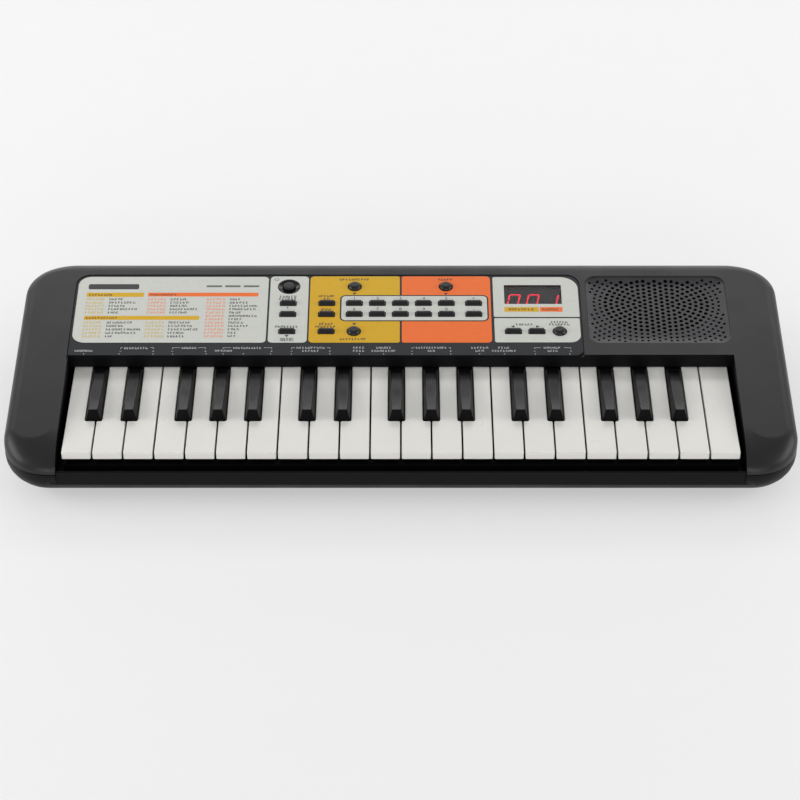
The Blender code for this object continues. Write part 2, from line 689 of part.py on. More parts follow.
def make_chassis():
    """Plate under the keys, with a skirt at the front and a rear rail that holds their knuckles."""
    groove_r = KNUCKLE_R + GAP
    under = CHASSIS_TOP_Z - CHASSIS_PLATE
    profile = [
        (CHASSIS_FRONT_Y, CHASSIS_SKIRT_Z),
        (CHASSIS_FRONT_Y + CHASSIS_PLATE, CHASSIS_SKIRT_Z),
        (CHASSIS_FRONT_Y + CHASSIS_PLATE, under),
        (CHASSIS_REAR_Y, under),
        (CHASSIS_REAR_Y, RAIL_TOP_Z),
        (HINGE_Y + groove_r, RAIL_TOP_Z),
        *arc((HINGE_Y, HINGE_Z), groove_r, 0, -180, 6),
        (HINGE_Y - groove_r, RAIL_TOP_Z),
        (RAIL_FRONT_Y, RAIL_TOP_Z),
        (RAIL_FRONT_Y, CHASSIS_TOP_Z),
        (CHASSIS_FRONT_Y, CHASSIS_TOP_Z),
    ]
    add_object("key_chassis", side_profile_mesh("key_chassis", profile, CHASSIS_HALF_WIDTH), CHASSIS_GREY)


def make_contact_strip():
    """Rubber strip with one dome under each of the 37 keys."""
    key_centres = []
    for index in range(WHITE_KEYS):
        key_centres.append(boundary_x(index) + KEYBED_WIDTH / WHITE_KEYS / 2)
        letter = OCTAVE[index % 7]
        if letter in BLACK_OFFSETS and index < WHITE_KEYS - 1:
            key_centres.append(boundary_x(index + 1) + BLACK_OFFSETS[letter])
    outline = [(-CHASSIS_HALF_WIDTH, STRIP_Z[0]), (CHASSIS_HALF_WIDTH, STRIP_Z[0])]
    outline.append((CHASSIS_HALF_WIDTH, STRIP_Z[1]))
    for x in reversed(key_centres):
        outline += [(x + DOME_HALF[0], STRIP_Z[1]), (x + DOME_HALF[1], DOME_TOP_Z)]
        outline += [(x - DOME_HALF[1], DOME_TOP_Z), (x - DOME_HALF[0], STRIP_Z[1])]
    outline.append((-CHASSIS_HALF_WIDTH, STRIP_Z[1]))
    rings = [[(x, y, z) for x, z in outline] for y in STRIP_Y]
    add_object("key_contact_strip", loft_mesh("key_contact_strip", rings), CONTACT_RUBBER)


# --- Panel and what works under it -------------------------------------------------------------------------


def make_panel(plane):
    outline = rounded_rectangle(PANEL_X, PANEL_S, PANEL_RADII)
    panel = add_object(
        "control_panel", prism_mesh("control_panel", outline, -PANEL_THICKNESS, 0), PANEL_GREY, parent=plane
    )
    bars = [*BAR_BUTTONS.values(), *((x, s) for x in PAD_COLUMNS for s in PAD_ROWS)]
    holes = button_holes(bars, POWER_DISH_R)
    boolean(panel, window_cutter("panel_windows", holes, plane), "DIFFERENCE")

    low = (WINDOW_X[0] + GAP, WINDOW_S[0] + GAP, -LENS_DEPTH[1])
    high = (WINDOW_X[1] - GAP, WINDOW_S[1] - GAP, -LENS_DEPTH[0])
    add_object("display_lens", box_mesh("display_lens", low, high), SMOKED, parent=plane)


def make_board(plane):
    """Circuit board with the digit module on top and the two rear sockets hanging from its edge."""
    low = (BOARD_X[0], BOARD_S[0], -BOARD_DEPTH[1])
    plate = box_mesh("main_board", low, (BOARD_X[1], BOARD_S[1], -BOARD_DEPTH[0]))
    board = add_object("main_board", plate, BOARD_GREEN, parent=plane)
    margin = PANEL_THICKNESS
    low = (WINDOW_X[0] - margin, WINDOW_S[0] - margin, -BOARD_DEPTH[1] + GAP)
    digits = box_mesh("digit_module", low, (WINDOW_X[1] + margin, WINDOW_S[1] + margin, -DIGITS_DEPTH))
    boolean(board, add_cutter("digit_module", digits, plane), "UNION")

    low = (SOCKET_X[0], SOCKET_Y[0], SOCKET_Z[0])
    riser = box_mesh("socket_riser", low, (SOCKET_X[1], SOCKET_Y[1], RISER_TOP_Z))
    boolean(board, add_cutter("socket_riser", riser), "UNION")
    low = (SOCKET_X[0], SOCKET_Y[1] - GAP, SOCKET_Z[0])
    sockets = box_mesh("rear_sockets", low, (SOCKET_X[1], SOCKET_Y[2], SOCKET_Z[1]))
    boolean(board, add_cutter("rear_sockets", sockets), "UNION")


def make_speaker(plane):
    """Round speaker under the grille, face up the panel's normal."""
    face = -RECESS_DEPTH - RECESS_WALL - GAP
    # (radius, depth below the face): cone plate, rim, basket and magnet
    steps = (
        (0, 0.0015),
        (0.024, 0.0015),
        (0.026, 0),
        (SPEAKER_FLANGE_R, 0),
        (SPEAKER_FLANGE_R, 0.002),
        (0.0245, 0.0025),
        (0.015, 0.011),
        (0.0145, 0.019),
        (0, 0.019),
    )
    mesh = turned_mesh("speaker_driver", [(radius, face - depth) for radius, depth in steps])
    add_object("speaker_driver", mesh, SPEAKER_STEEL, (*SPEAKER_CENTRE, 0), plane)


# --- Buttons ---------------------------------------------------------------------------------------------


def bar_cap_rings(centre=(0, 0), foot_depth=FLANGE_DEPTH[0]):
    """Rings of a bar cap, from its foot on the flange to its chamfered top."""
    return [
        rectangle(*CAP_HALF, -foot_depth, centre),
        rectangle(*CAP_HALF, CAP_HEIGHT / 10, centre),
        rectangle(*CAP_TOP_HALF, CAP_HEIGHT, centre),
    ]


def bar_button_mesh():
    flange = [half + FLANGE_MARGIN for half in CAP_HALF]
    rings = [
        rectangle(STEM_HALF, STEM_HALF, -STEM_DEPTH),
        rectangle(STEM_HALF, STEM_HALF, -FLANGE_DEPTH[1]),
        rectangle(*flange, -FLANGE_DEPTH[1]),
        rectangle(*flange, -FLANGE_DEPTH[0]),
    ]
    return loft_mesh("bar_button", rings + bar_cap_rings())


def round_button_mesh(name, radius, flat_radius, height):
    profile = [
        (0, height),
        (flat_radius, height),
        (radius * 0.65 + flat_radius * 0.35, height * 0.6),
        (radius, 0),
        (radius, -FLANGE_DEPTH[0]),
        (radius + FLANGE_MARGIN, -FLANGE_DEPTH[0]),
        (radius + FLANGE_MARGIN, -FLANGE_DEPTH[1]),
        (STEM_HALF, -FLANGE_DEPTH[1]),
        (STEM_HALF, -STEM_DEPTH),
        (0, -STEM_DEPTH),
    ]
    return turned_mesh(name, profile)


def make_number_pad(plane):
    """Twelve caps moulded on one flexible web, which lies under the deck."""
    x_range, s_range = pad_range(PAD_WEB_MARGIN)
    low, high = zip(x_range, s_range, (-FLANGE_DEPTH[1], -FLANGE_DEPTH[0]))
    pad = add_object("number_pad", box_mesh("number_pad", low, high), BUTTON_GREY, parent=plane)
    bm = bmesh.new()
    for x in PAD_COLUMNS:
        for s in PAD_ROWS:
            cap = loft_mesh("cap", bar_cap_rings((x, s), sum(FLANGE_DEPTH) / 2))
            bm.from_mesh(cap)
            bpy.data.meshes.remove(cap)
    boolean(pad, add_cutter("number_caps", finished_mesh("number_caps", bm), plane), "UNION")


def make_buttons(plane):
    bar = bar_button_mesh()
    for name, place in BAR_BUTTONS.items():
        add_object(name, bar, BUTTON_GREY, (*place, 0), plane)
    dome = round_button_mesh("dome_button", BUTTON_R, BUTTON_FLAT_R, BUTTON_HEIGHT)
    for name, place in ROUND_BUTTONS.items():
        add_object(name, dome, BUTTON_GREY, (*place, 0), plane)
    power = round_button_mesh("power_button", POWER_R, POWER_R * 0.7, POWER_HEIGHT)
    add_object("power_button", power, BUTTON_GREY, (*POWER_BUTTON, 0), plane)
    make_number_pad(plane)


def main():
    plane = bpy.data.objects.new("panel_plane", None)
    plane.location = (0, FASCIA_Y, PANEL_FRONT_Z)
    plane.rotation_euler = (SLOPE, 0, 0)
    PARTS.objects.link(plane)
    make_upper_case(plane)
    make_lower_case()
    make_battery_door()
    make_chassis()
    make_contact_strip()
    make_keys()
    make_panel(plane)
    make_board(plane)
    make_speaker(plane)
    make_buttons(plane)


main()
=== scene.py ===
"""Looks of a toy electronic keyboard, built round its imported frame.

Metres, +Z up, +X to the player's right, +Y away from the player. The case's visible shells, the keys, the
buttons and the printed panel are finer pieces that stand for the plain solids. What lies on the sloping
panel is modelled in the panel's own axes: X along the case, Y up the slope, Z out of the panel.
"""

import math
import random

import bmesh
import bpy
from mathutils import Matrix, Vector, geometry


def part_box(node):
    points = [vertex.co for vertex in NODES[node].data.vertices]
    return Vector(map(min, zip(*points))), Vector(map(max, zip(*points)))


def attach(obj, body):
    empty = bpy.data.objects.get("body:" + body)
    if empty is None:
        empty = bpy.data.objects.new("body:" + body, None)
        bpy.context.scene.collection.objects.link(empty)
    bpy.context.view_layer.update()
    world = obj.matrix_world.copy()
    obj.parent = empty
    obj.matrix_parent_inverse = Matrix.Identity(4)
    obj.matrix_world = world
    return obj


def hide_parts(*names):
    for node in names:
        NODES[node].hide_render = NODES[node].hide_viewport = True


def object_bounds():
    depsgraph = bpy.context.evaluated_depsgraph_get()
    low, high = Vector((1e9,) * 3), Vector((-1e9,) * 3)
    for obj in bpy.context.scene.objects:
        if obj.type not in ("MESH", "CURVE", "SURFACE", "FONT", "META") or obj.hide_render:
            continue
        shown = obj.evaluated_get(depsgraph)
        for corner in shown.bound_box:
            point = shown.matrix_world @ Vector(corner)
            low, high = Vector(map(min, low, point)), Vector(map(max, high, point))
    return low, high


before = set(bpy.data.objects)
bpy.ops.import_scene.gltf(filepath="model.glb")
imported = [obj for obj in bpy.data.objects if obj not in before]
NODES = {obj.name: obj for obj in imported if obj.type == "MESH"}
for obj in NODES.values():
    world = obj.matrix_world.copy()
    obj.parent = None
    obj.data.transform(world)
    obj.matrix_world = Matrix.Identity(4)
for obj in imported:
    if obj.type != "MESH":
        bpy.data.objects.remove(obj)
CAD_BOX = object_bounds()

# Case
SLOPE = math.radians(5.5)
PANEL_ORIGIN = Vector((0, -0.001, 0.0461))
PLANE = Matrix.Translation(PANEL_ORIGIN) @ Matrix.Rotation(SLOPE, 4, "X")
WIDTH = CAD_BOX[1].x - CAD_BOX[0].x
DEPTH = CAD_BOX[1].y - CAD_BOX[0].y
PARTING_Z = 0.025
BASE_Z = 0.0025
DECK_PROUD = 0.0005
FRONT_CORNER_R = 0.030
REAR_CORNER_R = 0.034
UPPER_WALL = 0.003
LOWER_WALL = 0.0022
FASCIA_WALL = 0.0022
UPPER_ROUNDING = {"side": (0.008, 0.008), "front": (0.030, 0.0115), "rear": (0.016, 0.016)}
LOWER_ROUNDING = {"side": (0.026, 0.0205), "front": (0.026, 0.0205), "rear": (0.014, 0.011)}
PARTING_CHAMFER = 0.0003
CORNER_STEPS = 18
ROUNDING_STEPS = 9
GAP = 0.0003
BEYOND = 0.005
TINY = 1e-5

# Keybed
KEYBED_X = 0.2182
FASCIA_Y = -0.001
FASCIA_FOOT_Z = 0.0367
LIP_Y = -0.099
LIP_TOP_Z = 0.0259
LIP_BOTTOM_Z = 0.0165
LIP_RADII = (0.0007, 0.0009)
HINGE = Vector((0, 0.024, 0.029))
KNUCKLE_R = 0.0022
KEY_TOP_Z = 0.036
KEY_THICKNESS = 0.005
KEY_CORNER_R = 0.0009
KEY_EDGE_R = 0.00045
KNUCKLE_TOP_Z = 0.0322
NOTCH_Y = -0.0585
# A notch's corner at the key's side, and the one at its inner end
NOTCH_RADII = (0.0008, 0.0013)
KEY_SLOT_REAR_Y = 0.01
ARM_EDGE_R = 0.0005

# Panel plane
RECESS_X = (0.1244, 0.2180)
RECESS_S = (0.0125, 0.080)
RECESS_R = 0.008
RECESS_DEPTH = 0.002
RECESS_LIP_R = 0.0008
PANEL_X = (-0.2186, 0.120)
PANEL_S = (0.0003, 0.0815)
PANEL_RADII = (0.0005, 0.005, 0.0098, 0.0098)
PANEL_THICKNESS = 0.001
# The bed's rim: how far it stands outside the gap round the panel, and its height
BED_RIM = ((0, 0.0001), (0.0001, 0.0004), (0.0004, BEYOND))
WINDOW_X = (0.0694, 0.1078)
WINDOW_S = (0.0518, 0.0713)
WINDOW_R = 0.0006
DIGIT_DEPTH = 0.0056
BUTTON_CLEARANCE = 0.00035
CAP_HALF = (0.0053, 0.0022)
CAP_CORNER_R = 0.0007
ROUND_R = 0.00445
DISH_R = 0.0073
FLANGE_DEPTH = (0.0028, 0.0038)
FLANGE_PROUD = 0.0015
STEM_HALF = 0.0015
STEM_DEPTH = 0.0069
PAD_HOLE_X = (-0.0379, 0.0555)
PAD_HOLE_S = (0.0378, 0.0554)
PAD_HOLE_R = 0.001
PAD_INSET_X = (-0.0397, 0.0576)
PAD_INSET_S = (0.0350, 0.0599)
PAD_INSET_R = 0.003
PAD_OUTLINE = 0.001
ISLAND_TOP = 0.00006
PRINT_TOP = 0.00009
BAR_WORD_TOP = 1.4 * PRINT_TOP
INK_CLEARANCE = 0.00005

BLACK_SIDE_GAP = 0.00045
# A black key's ridge: how far its front end stands back and its half width there, then its rear end's y,
# half width and height, and how far its line is bowed up
BLACK_FRONT = (0.0017, 0.00285)
BLACK_REAR = (-0.0045, 0.0038, 0.038)
BLACK_CROWN = 0.0004
BLACK_STEPS = 6
BLACK_SHOULDER = 0.0005
TONGUE_Y = (-0.004, -0.0035)
BLACK_EDGE_R = 0.0005
# A face's lean from which it is a key's flank or front, which takes the painted shade
STEEP = 0.6

# Underside and back
FEET = [(x, y) for x in (-0.188, 0.188) for y in (-0.0765, 0.076)]
SCREWS = [(sign * x, y) for x, y in ((0.226, -0.068), (0.226, 0.062), (0.1185, 0.080)) for sign in (-1, 1)]
SCREW_POST_R = 0.0055
SCREW_POST_TOP_Z = 0.012
SCREW_BORE = ((0.0038, -0.005), (0.0038, 0.0025), (0.0032, 0.0031), (0.0032, 0.009))
SCREW_SEAT_Z = 0.009
# Radius and height from the seat; then the cross slot's half length and half width, and how deep it reaches
SCREW_PROFILE = (
    (0.0021, -0.0018),
    (0.0026, -0.0014),
    (0.0028, -0.0008),
    (0.0028, 0),
    (0.0014, 0.0005),
    (0.0014, 0.004),
)
SCREW_SLOT = (0.0015, 0.0003)
SCREW_SLOT_TOP = -0.0009
FOOT_SEAT_R = 0.0068
FOOT_SEAT_Z = 0.0013
FOOT_PROFILE = ((0.0052, 0), (0.0058, 0.0004), (0.0058, 0.0016))
BAY_TOP_Z = 0.0205
BAY_WALL = 0.0016
BAY_CORNER_R = 0.001
DOOR_CORNER_R = 0.0009
DOOR_CHAMFER = 0.0003
THUMB_INSET = 0.010
THUMB_PROFILE = ((0.0064, -0.001), (0.0062, 0), (0.0052, 0.0006), (0.0034, 0.0009), (0.001, 0.00095))
GROOVE_SETBACK = 0.016
GROOVE_PITCH = 0.0016
GROOVE_HALF = (0.008, 0.0003)
JACK_X = 0.065
POWER_SOCKET_X = 0.0775
REAR_OPENING_Z = 0.033
REAR_RIM = 0.0006
# Middle, half width and half height, corner radius, and whether the corner grows with the rim
REAR_OPENINGS = ((JACK_X, 0.0034, 0.0034, 0.0034 - TINY, 0), (POWER_SOCKET_X, 0.0045, 0.002, 0.0008, 1))
SOCKET_R = 0.001
SLEEVE_DEPTH = 0.0012
SLEEVE_PROFILE = (
    (0.0019, -0.004),
    (0.0031, -0.004),
    (0.0031, -0.0002),
    (0.0026, 0.0002),
    (0.0019, 0),
    (0.0019, -0.003),
)
# Half width, half height and depth, round the lip of the power socket's shell
SOCKET_SHELL = (
    (0.0038, 0.0014, 0.0036),
    (0.0038, 0.0014, 0.001),
    (0.0035, 0.0011, 0.001),
    (0.0035, 0.0011, 0.0034),
)

# Grille
SPEAKER_CENTRE = (0.1712, 0.054)
GRILLE_RINGS = 14
GRILLE_PITCH = 0.0038
GRILLE_EDGE = 0.0021
GRILLE_TOP = -0.00031
GRILLE_BOTTOM = -0.0038
GRILLE_INSETS = (0.00005, 0.0004, 0.0009)
GRILLE_STEP = 0.0015
GRILLE_HOLE_STEPS = 14
# How far in from each side the dish goes on falling
DISH_SIDE = 0.006
DISH_FRONT = 0.007
DISH_REAR = 0.007
DISH_POWER = 1.3
LAST_OPEN_RING = 7
OPEN_HOLE_R = 0.00132
BLIND_HOLE_R = 0.00102
BLIND_DEPTH = 0.0014
CLOTH_PROFILE = ((0.030, -0.0044), (0.0305, -0.0043), (0.0305, -0.00385))

# Buttons
# Inset at the ends, at the front and at the rear, then height
CAP_STATIONS = (
    (0, 0, 0, -0.0028),
    (0, 0, 0, 0.0001),
    (0.0001, 0.00025, 0.0001, 0.0004),
    (0.0005, 0.0015, 0.0003, 0.0016),
    (0.0007, 0.0019, 0.0005, 0.00185),
    (0.0010, 0.0023, 0.0008, 0.002),
)
DOME_PROFILE = (
    (0.00445, 0),
    (0.00435, 0.0004),
    (0.0041, 0.0009),
    (0.0036, 0.0015),
    (0.0031, 0.0019),
    (0.0027, 0.0021),
    (0.0020, 0.0022),
)
POWER_PROFILE = ((0.0038, 0.0006), (0.0036, 0.0009), (0.0030, 0.0011), (0.0022, 0.0012))
DISH_PROFILE = (
    (DISH_R, -0.0012),
    (DISH_R, 0.0001),
    (0.0070, 0.0002),
    (0.0061, -0.0001),
    (0.0049, -0.0005),
    (0.0044, -0.0006),
    (0.00415, -0.0008),
    (0.00415, -0.0012),
)
WEB_MARGIN = (0.0083, 0.0047)
PAD_TOP = 0.00012

# Display
DIGIT_CENTRES = (0.0758, 0.0887, 0.1016)
DIGIT_S = 0.0615
DIGIT_WIDTH = 0.0070
DIGIT_HEIGHT = 0.0126
SEGMENT_WIDTH = 0.001
# In half widths of a segment: how much shorter it is than the digit's side, and how far its tips reach
SEGMENT_GAP = 1.1
SEGMENT_TIP = 0.6
DIGIT_RELIEF = 0.00005
DIGIT_FACE_MARGIN = 0.0004
DIGIT_FACE_Z = (-0.0002, 0.00002)
DIGIT_SLANT = math.radians(11)
DIGIT_SEGMENTS = ("abcdef", "abcdef", "bc")
# Middle of each segment in half widths and half heights, and whether it stands upright
SEGMENTS = {
    "a": (0, 1, False),
    "b": (1, 0.5, True),
    "c": (1, -0.5, True),
    "d": (0, -1, False),
    "e": (-1, -0.5, True),
    "f": (-1, 0.5, True),
    "g": (0, 0, False),
}

# Artwork, in millimetres on the panel
THIRD_ROWS = [56.6 - 3.41 * i for i in range(12)]
UPPER_ROWS = THIRD_ROWS[:5]
LOWER_ROWS = [32.8 - 3.48 * i for i in range(5)]
THIRD_LENGTHS = (7.5, 13, 19, 17.9, 8.7, 19, 9.2, 10.4, 13.9, 7.9, 6.4, 6)
# Ink of the tabs, their span, where the words start, the rows, and the words' lengths
LIST_COLUMNS = (
    ("yellow", (-210.7, -198.3), -195.4, UPPER_ROWS, (9.8, 18.1, 11.6, 19.4, 7.5)),
    ("orange", (-169.5, -156.5), -154.3, UPPER_ROWS, (10.6, 12.5, 11.6, 19.1, 11.8)),
    ("yellow", (-210.7, -198.3), -195.4, LOWER_ROWS, (17.6, 11.6, 23.7, 20.8, 5.2)),
    ("yellow", (-169.5, -156.5), -154.3, LOWER_ROWS, (15.0, 16.8, 20.6, 11.0, 11.6)),
    ("orange", (-130, -117.2), -114.6, THIRD_ROWS, THIRD_LENGTHS),
)
LIST_HEADINGS = (((-209.5, -193), 61.2), ((-168.3, -150), 61.4), ((-209.5, -188), 37.5))
# Ink, corner radius and spans
PLAIN_BARS = {
    "header_bar": ("dark", 1.2, (((-210.4, -176.4), (66.9, 72.3)),)),
    "header_line": ("grey", 0.5, [((x, x + 10.5), (69.2, 71.0)) for x in (-131, -118.5, -106)]),
    "list_bars_yellow": ("yellow", 0.8, (((-211.1, -172.6), (59.1, 63.4)), ((-211, -134.2), (35.5, 39.5)))),
    "list_bars_orange": ("orange", 0.8, (((-169.9, -95.8), (59.5, 63.4)),)),
    "display_bar_yellow": ("yellow", 0.0, (((69.1, 92.1), (43.8, 48.5)),)),
    "display_bar_orange": ("orange", 0.0, (((92.9, 107.9), (43.8, 48.5)),)),
}
STRIP_WORDS = (
    ((-214.2, -202.1), 4.5),
    ((-181.9, -166.0), 7.1),
    ((-144.0, -134.0), 7.3),
    ((-110.2, -91.3), 7.3),
    ((-122.0, -110.5), 4.5),
    ((-68.5, -49.6), 7.5),
    ((-64.8, -53.2), 4.4),
    ((-31.4, -23.3), 7.5),
    ((-31.4, -23.3), 4.4),
    ((-16.2, -5.8), 7.5),
    ((-19.2, -3.0), 4.4),
    ((9.9, 30.6), 7.5),
    ((17.7, 22.6), 4.4),
    ((46.3, 57.8), 7.5),
    ((49.0, 55.0), 4.4),
    ((64.0, 72.0), 7.5),
    ((59.9, 76.2), 4.4),
    ((93.9, 105.5), 7.5),
    ((96.5, 103.3), 4.4),
)
STRIP_WORD_HEIGHT = 1.8
TICK_HALF = 0.22
TICK_S = (0.8, 2.0)
STRIP_TICKS = (
    *(-208, -184.8, -162.6, -149.7, -127.8, -116.5, -103.3, -85.5, -71.8),
    *(-46.6, -27.2, -11.3, 7.3, 32.7, 51.7, 68, 88.2, 110.8),
)
BRACKET_TOP_S = (7.4, 7.75)
# Half width and span of a bracket's stem and foot, then of the tick through the foot of a left-hand one
BRACKET_PARTS = ((0.18, (6.3, 7.4)), (0.7, (3.9, 4.2)), (0.15, (3.35, 4.75)))
# Where each bracket's stem is, and where its top ends
STRIP_BRACKETS = (
    (-184.1, -182.9),
    (-162.6, -164.6),
    (-150.1, -145.1),
    (-128.3, -133.2),
    (-116.8, -111.6),
    (-84.9, -90.1),
    (-71.8, -69.6),
    (-46.6, -48.6),
    (7.3, 9.0),
    (32.7, 31.4),
    (87.9, 92.1),
    (111.6, 107.2),
)
LABEL_WORDS = (
    ((-81.1, -69.8), 59.3),
    ((-81.6, -69.3), 57.0),
    ((-76.0, -74.6), 48.1),
    ((-83.5, -67.7), 28.6),
    ((-79.0, -71.8), 15.65),
    ((-41.3, -20.7), 77.2),
    ((25.3, 35.1), 77.2),
    ((-55.2, -44.1), 59.9),
    ((-51.6, -47.3), 57.1),
    ((-53.4, -46.0), 46.0),
    ((-54.3, -44.5), 31.5),
    ((-56.8, -42.8), 28.6),
    ((-40.3, -22.5), 16.1),
    ((76.4, 88.1), 30.8),
    ((99.8, 111.0), 33.2),
    ((98.5, 112.3), 30.8),
)
LABEL_ARROWS = (
    ((-31.1, 62.6), -90),
    ((30.2, 62.4), -90),
    ((-31.0, 31.5), -90),
    ((-75.5, 19.4), -90),
    ((74.5, 28.7), 180),
    ((90.5, 28.7), 0),
)
NUMERAL_COLUMNS = (-31.2, -15.6, -0.3, 15.3, 30.4, 48.7)
NUMERAL_ROWS = (("12345+", 57.4), ("67890-", 46.3))
POWER_MARK = (-83.8, 77.2)
POWER_MARK_RADII = (1.5, 1.15)
POWER_MARK_STEM = 1.8
ARROW_SIZE = 1.5
LINE_HALF = 0.15
LABEL_FRAME = ((-79.6, -71.2), (14.3, 16.9))
DISPLAY_WORDS = ((72, 89), (94.5, 106.3))
DISPLAY_WORDS_S = 46.2
DISPLAY_WORDS_HEIGHT = 2.2
# A letter's stroke as a share of its height, its width as a share of its pitch, and a figure's height in ems
LETTER_STROKE = 0.23
LETTER_FILL = 0.76
FIGURE_EM = 0.72
# The panel's coloured areas: span along, span up and corner radii
ISLANDS = {
    "cream": (
        ((-217.2, -89.2), (12.6, 80.0), (8.5, 3, 3, 8.5)),
        ((-87.9, -62.1), (12.6, 80.4), (3, 3, 3, 3)),
        ((61.9, 119.1), (38.5, 79.7), (1.2, 0.6, 12, 1.2)),
        ((62.1, 118.9), (12.9, 37.2), (1.5, 7, 1.0, 1.0)),
    ),
    "yellow": (((-61.0, -0.7), (12.6, 80.5), (3, 1.6, 1.6, 3)),),
    "orange": (((0.6, 60.2), (12.6, 80.5), (1.6, 3, 3, 1.6)),),
}

# Studio: name, place, what it faces, size and power
WORLD_LEVEL = 0.20
SOFTBOXES = (
    ("overhead", (0, -0.1, 1.6), (0, 0, 0), (3.2, 3.2), 8),
    ("back", (0, 0.75, 0.62), (0, 0.05, 0.04), (1.8, 0.25), 3.2),
    ("horizon", (0, 1.6, 0.32), (0, 0, 0.05), (3.0, 0.6), 9),
    ("left", (-1.1, -0.1, 0.45), (-0.2, 0, 0.03), (0.9, 0.6), 6.4),
    ("right", (1.1, -0.1, 0.45), (0.2, 0, 0.03), (0.9, 0.6), 5.2),
    ("front", (0, -1.5, 0.5), (0, 0, 0.02), (1.6, 0.4), 8),
)
FLOOR_SPAN = (-3, 3)
FLOOR_CORNER_R = 0.5
FLOOR_Z = (-0.02, -0.00005)
CAMERA_PLACE = (0, -1.4388, 1.0933)
CAMERA_TILT = math.radians(53)
LENS_MM = 122.13
SENSOR_MM = 36
LENS_SHIFT = (-0.0011, -0.0006)
FAR_CLIP = 20


# --- Materials -------------------------------------------------------------------------------------------


def add_node(tree, kind, sockets=None, **properties):
    """A shader node. A socket given another node's output is linked to it."""
    made = tree.nodes.new(kind)
    for name, value in properties.items():
        setattr(made, name, value)
    for name, value in (sockets or {}).items():
        if isinstance(value, bpy.types.NodeSocket):
            tree.links.new(value, made.inputs[name])
        else:
            made.inputs[name].default_value = value
    return made


def new_material(name, **sockets):
    """A Principled material with its plain values set. In a socket's name, an underscore is a space."""
    material = bpy.data.materials.new(name)
    material.use_nodes = True
    shader = material.node_tree.nodes["Principled BSDF"]
    for socket, value in sockets.items():
        shader.inputs[socket.replace("_", " ")].default_value = value
    return material, material.node_tree, shader


def noise(tree, scale, detail=2.0, stretch=(1, 1, 1)):
    """Noise in the piece's own axes, scale cells to the metre."""
    place = add_node(tree, "ShaderNodeTexCoord").outputs["Object"]
    spread = add_node(tree, "ShaderNodeMapping", {"Vector": place, "Scale": stretch})
    sockets = {"Vector": spread.outputs["Vector"], "Scale": scale, "Detail": detail}
    return add_node(tree, "ShaderNodeTexNoise", sockets).outputs["Fac"]


def tint(tree, shader, factor, colour, spread):
    """Base colour that wanders by a share of spread either way."""
    ramp = add_node(tree, "ShaderNodeValToRGB", {"Fac": factor})
    for stop, share, place in zip(ramp.color_ramp.elements, (1 - spread, 1 + spread), (0.3, 0.7)):
        stop.position = place
        stop.color = (*(min(1, channel * share) for channel in colour), 1)
    tree.links.new(ramp.outputs["Color"], shader.inputs["Base Color"])


def gloss(tree, shader, factor, low, high):
    """Roughness that wanders from low to high."""
    sockets = {"Value": factor, "From Min": 0.3, "From Max": 0.7, "To Min": low, "To Max": high}
    spread = add_node(tree, "ShaderNodeMapRange", sockets)
    tree.links.new(spread.outputs["Result"], shader.inputs["Roughness"])


def relief(tree, shader, height, strength, distance):
    bump = add_node(tree, "ShaderNodeBump", {"Height": height, "Strength": strength, "Distance": distance})
    tree.links.new(bump.outputs["Normal"], shader.inputs["Normal"])


def plastic(name, colour, roughness, grain=0.25, grain_size=0.00045, spread=0.06, shine=0.5, **sockets):
    """Moulded plastic: faintly mottled, with uneven gloss and a fine spark-eroded grain."""
    material, tree, shader = new_material(name, IOR=1.46, Specular_IOR_Level=shine, **sockets)
    tint(tree, shader, noise(tree, 24, 4), colour, spread)
    gloss(tree, shader, noise(tree, 55, 5), roughness - 0.03, roughness + 0.05)
    relief(tree, shader, noise(tree, 1 / grain_size, 3), grain, 0.00004)
    return material


def printed(name, colour, roughness=0.38):
    """Screen-printed ink on a film: even, with a very fine orange peel."""
    material, tree, shader = new_material(name, IOR=1.45, Specular_IOR_Level=0.3)
    tint(tree, shader, noise(tree, 300, 3), colour, 0.025)
    gloss(tree, shader, noise(tree, 80, 4), roughness - 0.02, roughness + 0.04)
    relief(tree, shader, noise(tree, 1400, 2), 0.12, 0.00002)
    return material


def woven(name, colour, pitch):
    """Plain-woven cloth, from two crossed sets of bands."""
    material, tree, shader = new_material(name, Roughness=0.9)
    place = add_node(tree, "ShaderNodeTexCoord").outputs["Object"]
    bands = []
    for direction in ("X", "Y"):
        sockets = {"Vector": place, "Scale": 1 / pitch / 2}
        bands.append(add_node(tree, "ShaderNodeTexWave", sockets, bands_direction=direction).outputs["Fac"])
    crossed = add_node(tree, "ShaderNodeMath", {0: bands[0], 1: bands[1]}, operation="MULTIPLY").outputs[0]
    tint(tree, shader, crossed, colour, 0.4)
    relief(tree, shader, crossed, 0.6, pitch / 4)
    return material


def metal(name, colour, roughness):
    """Plated steel with fine drawn lines."""
    material, tree, shader = new_material(name, Metallic=1.0)
    tint(tree, shader, noise(tree, 200, 3), colour, 0.08)
    gloss(tree, shader, noise(tree, 900, 3, (1, 1, 0.05)), roughness, roughness + 0.15)
    return material


def laminate(name, colour):
    """Circuit board: solder mask over a raised pattern of tracks."""
    material, tree, shader = new_material(name, IOR=1.5)
    place = add_node(tree, "ShaderNodeTexCoord").outputs["Object"]
    sockets = {"Vector": place, "Scale": 180.0}
    cells = add_node(tree, "ShaderNodeTexVoronoi", sockets, distance="MANHATTAN", feature="F1")
    tracks = cells.outputs["Distance"]
    tint(tree, shader, tracks, colour, 0.35)
    gloss(tree, shader, noise(tree, 60, 3), 0.3, 0.45)
    relief(tree, shader, tracks, 0.5, 0.00005)
    return material


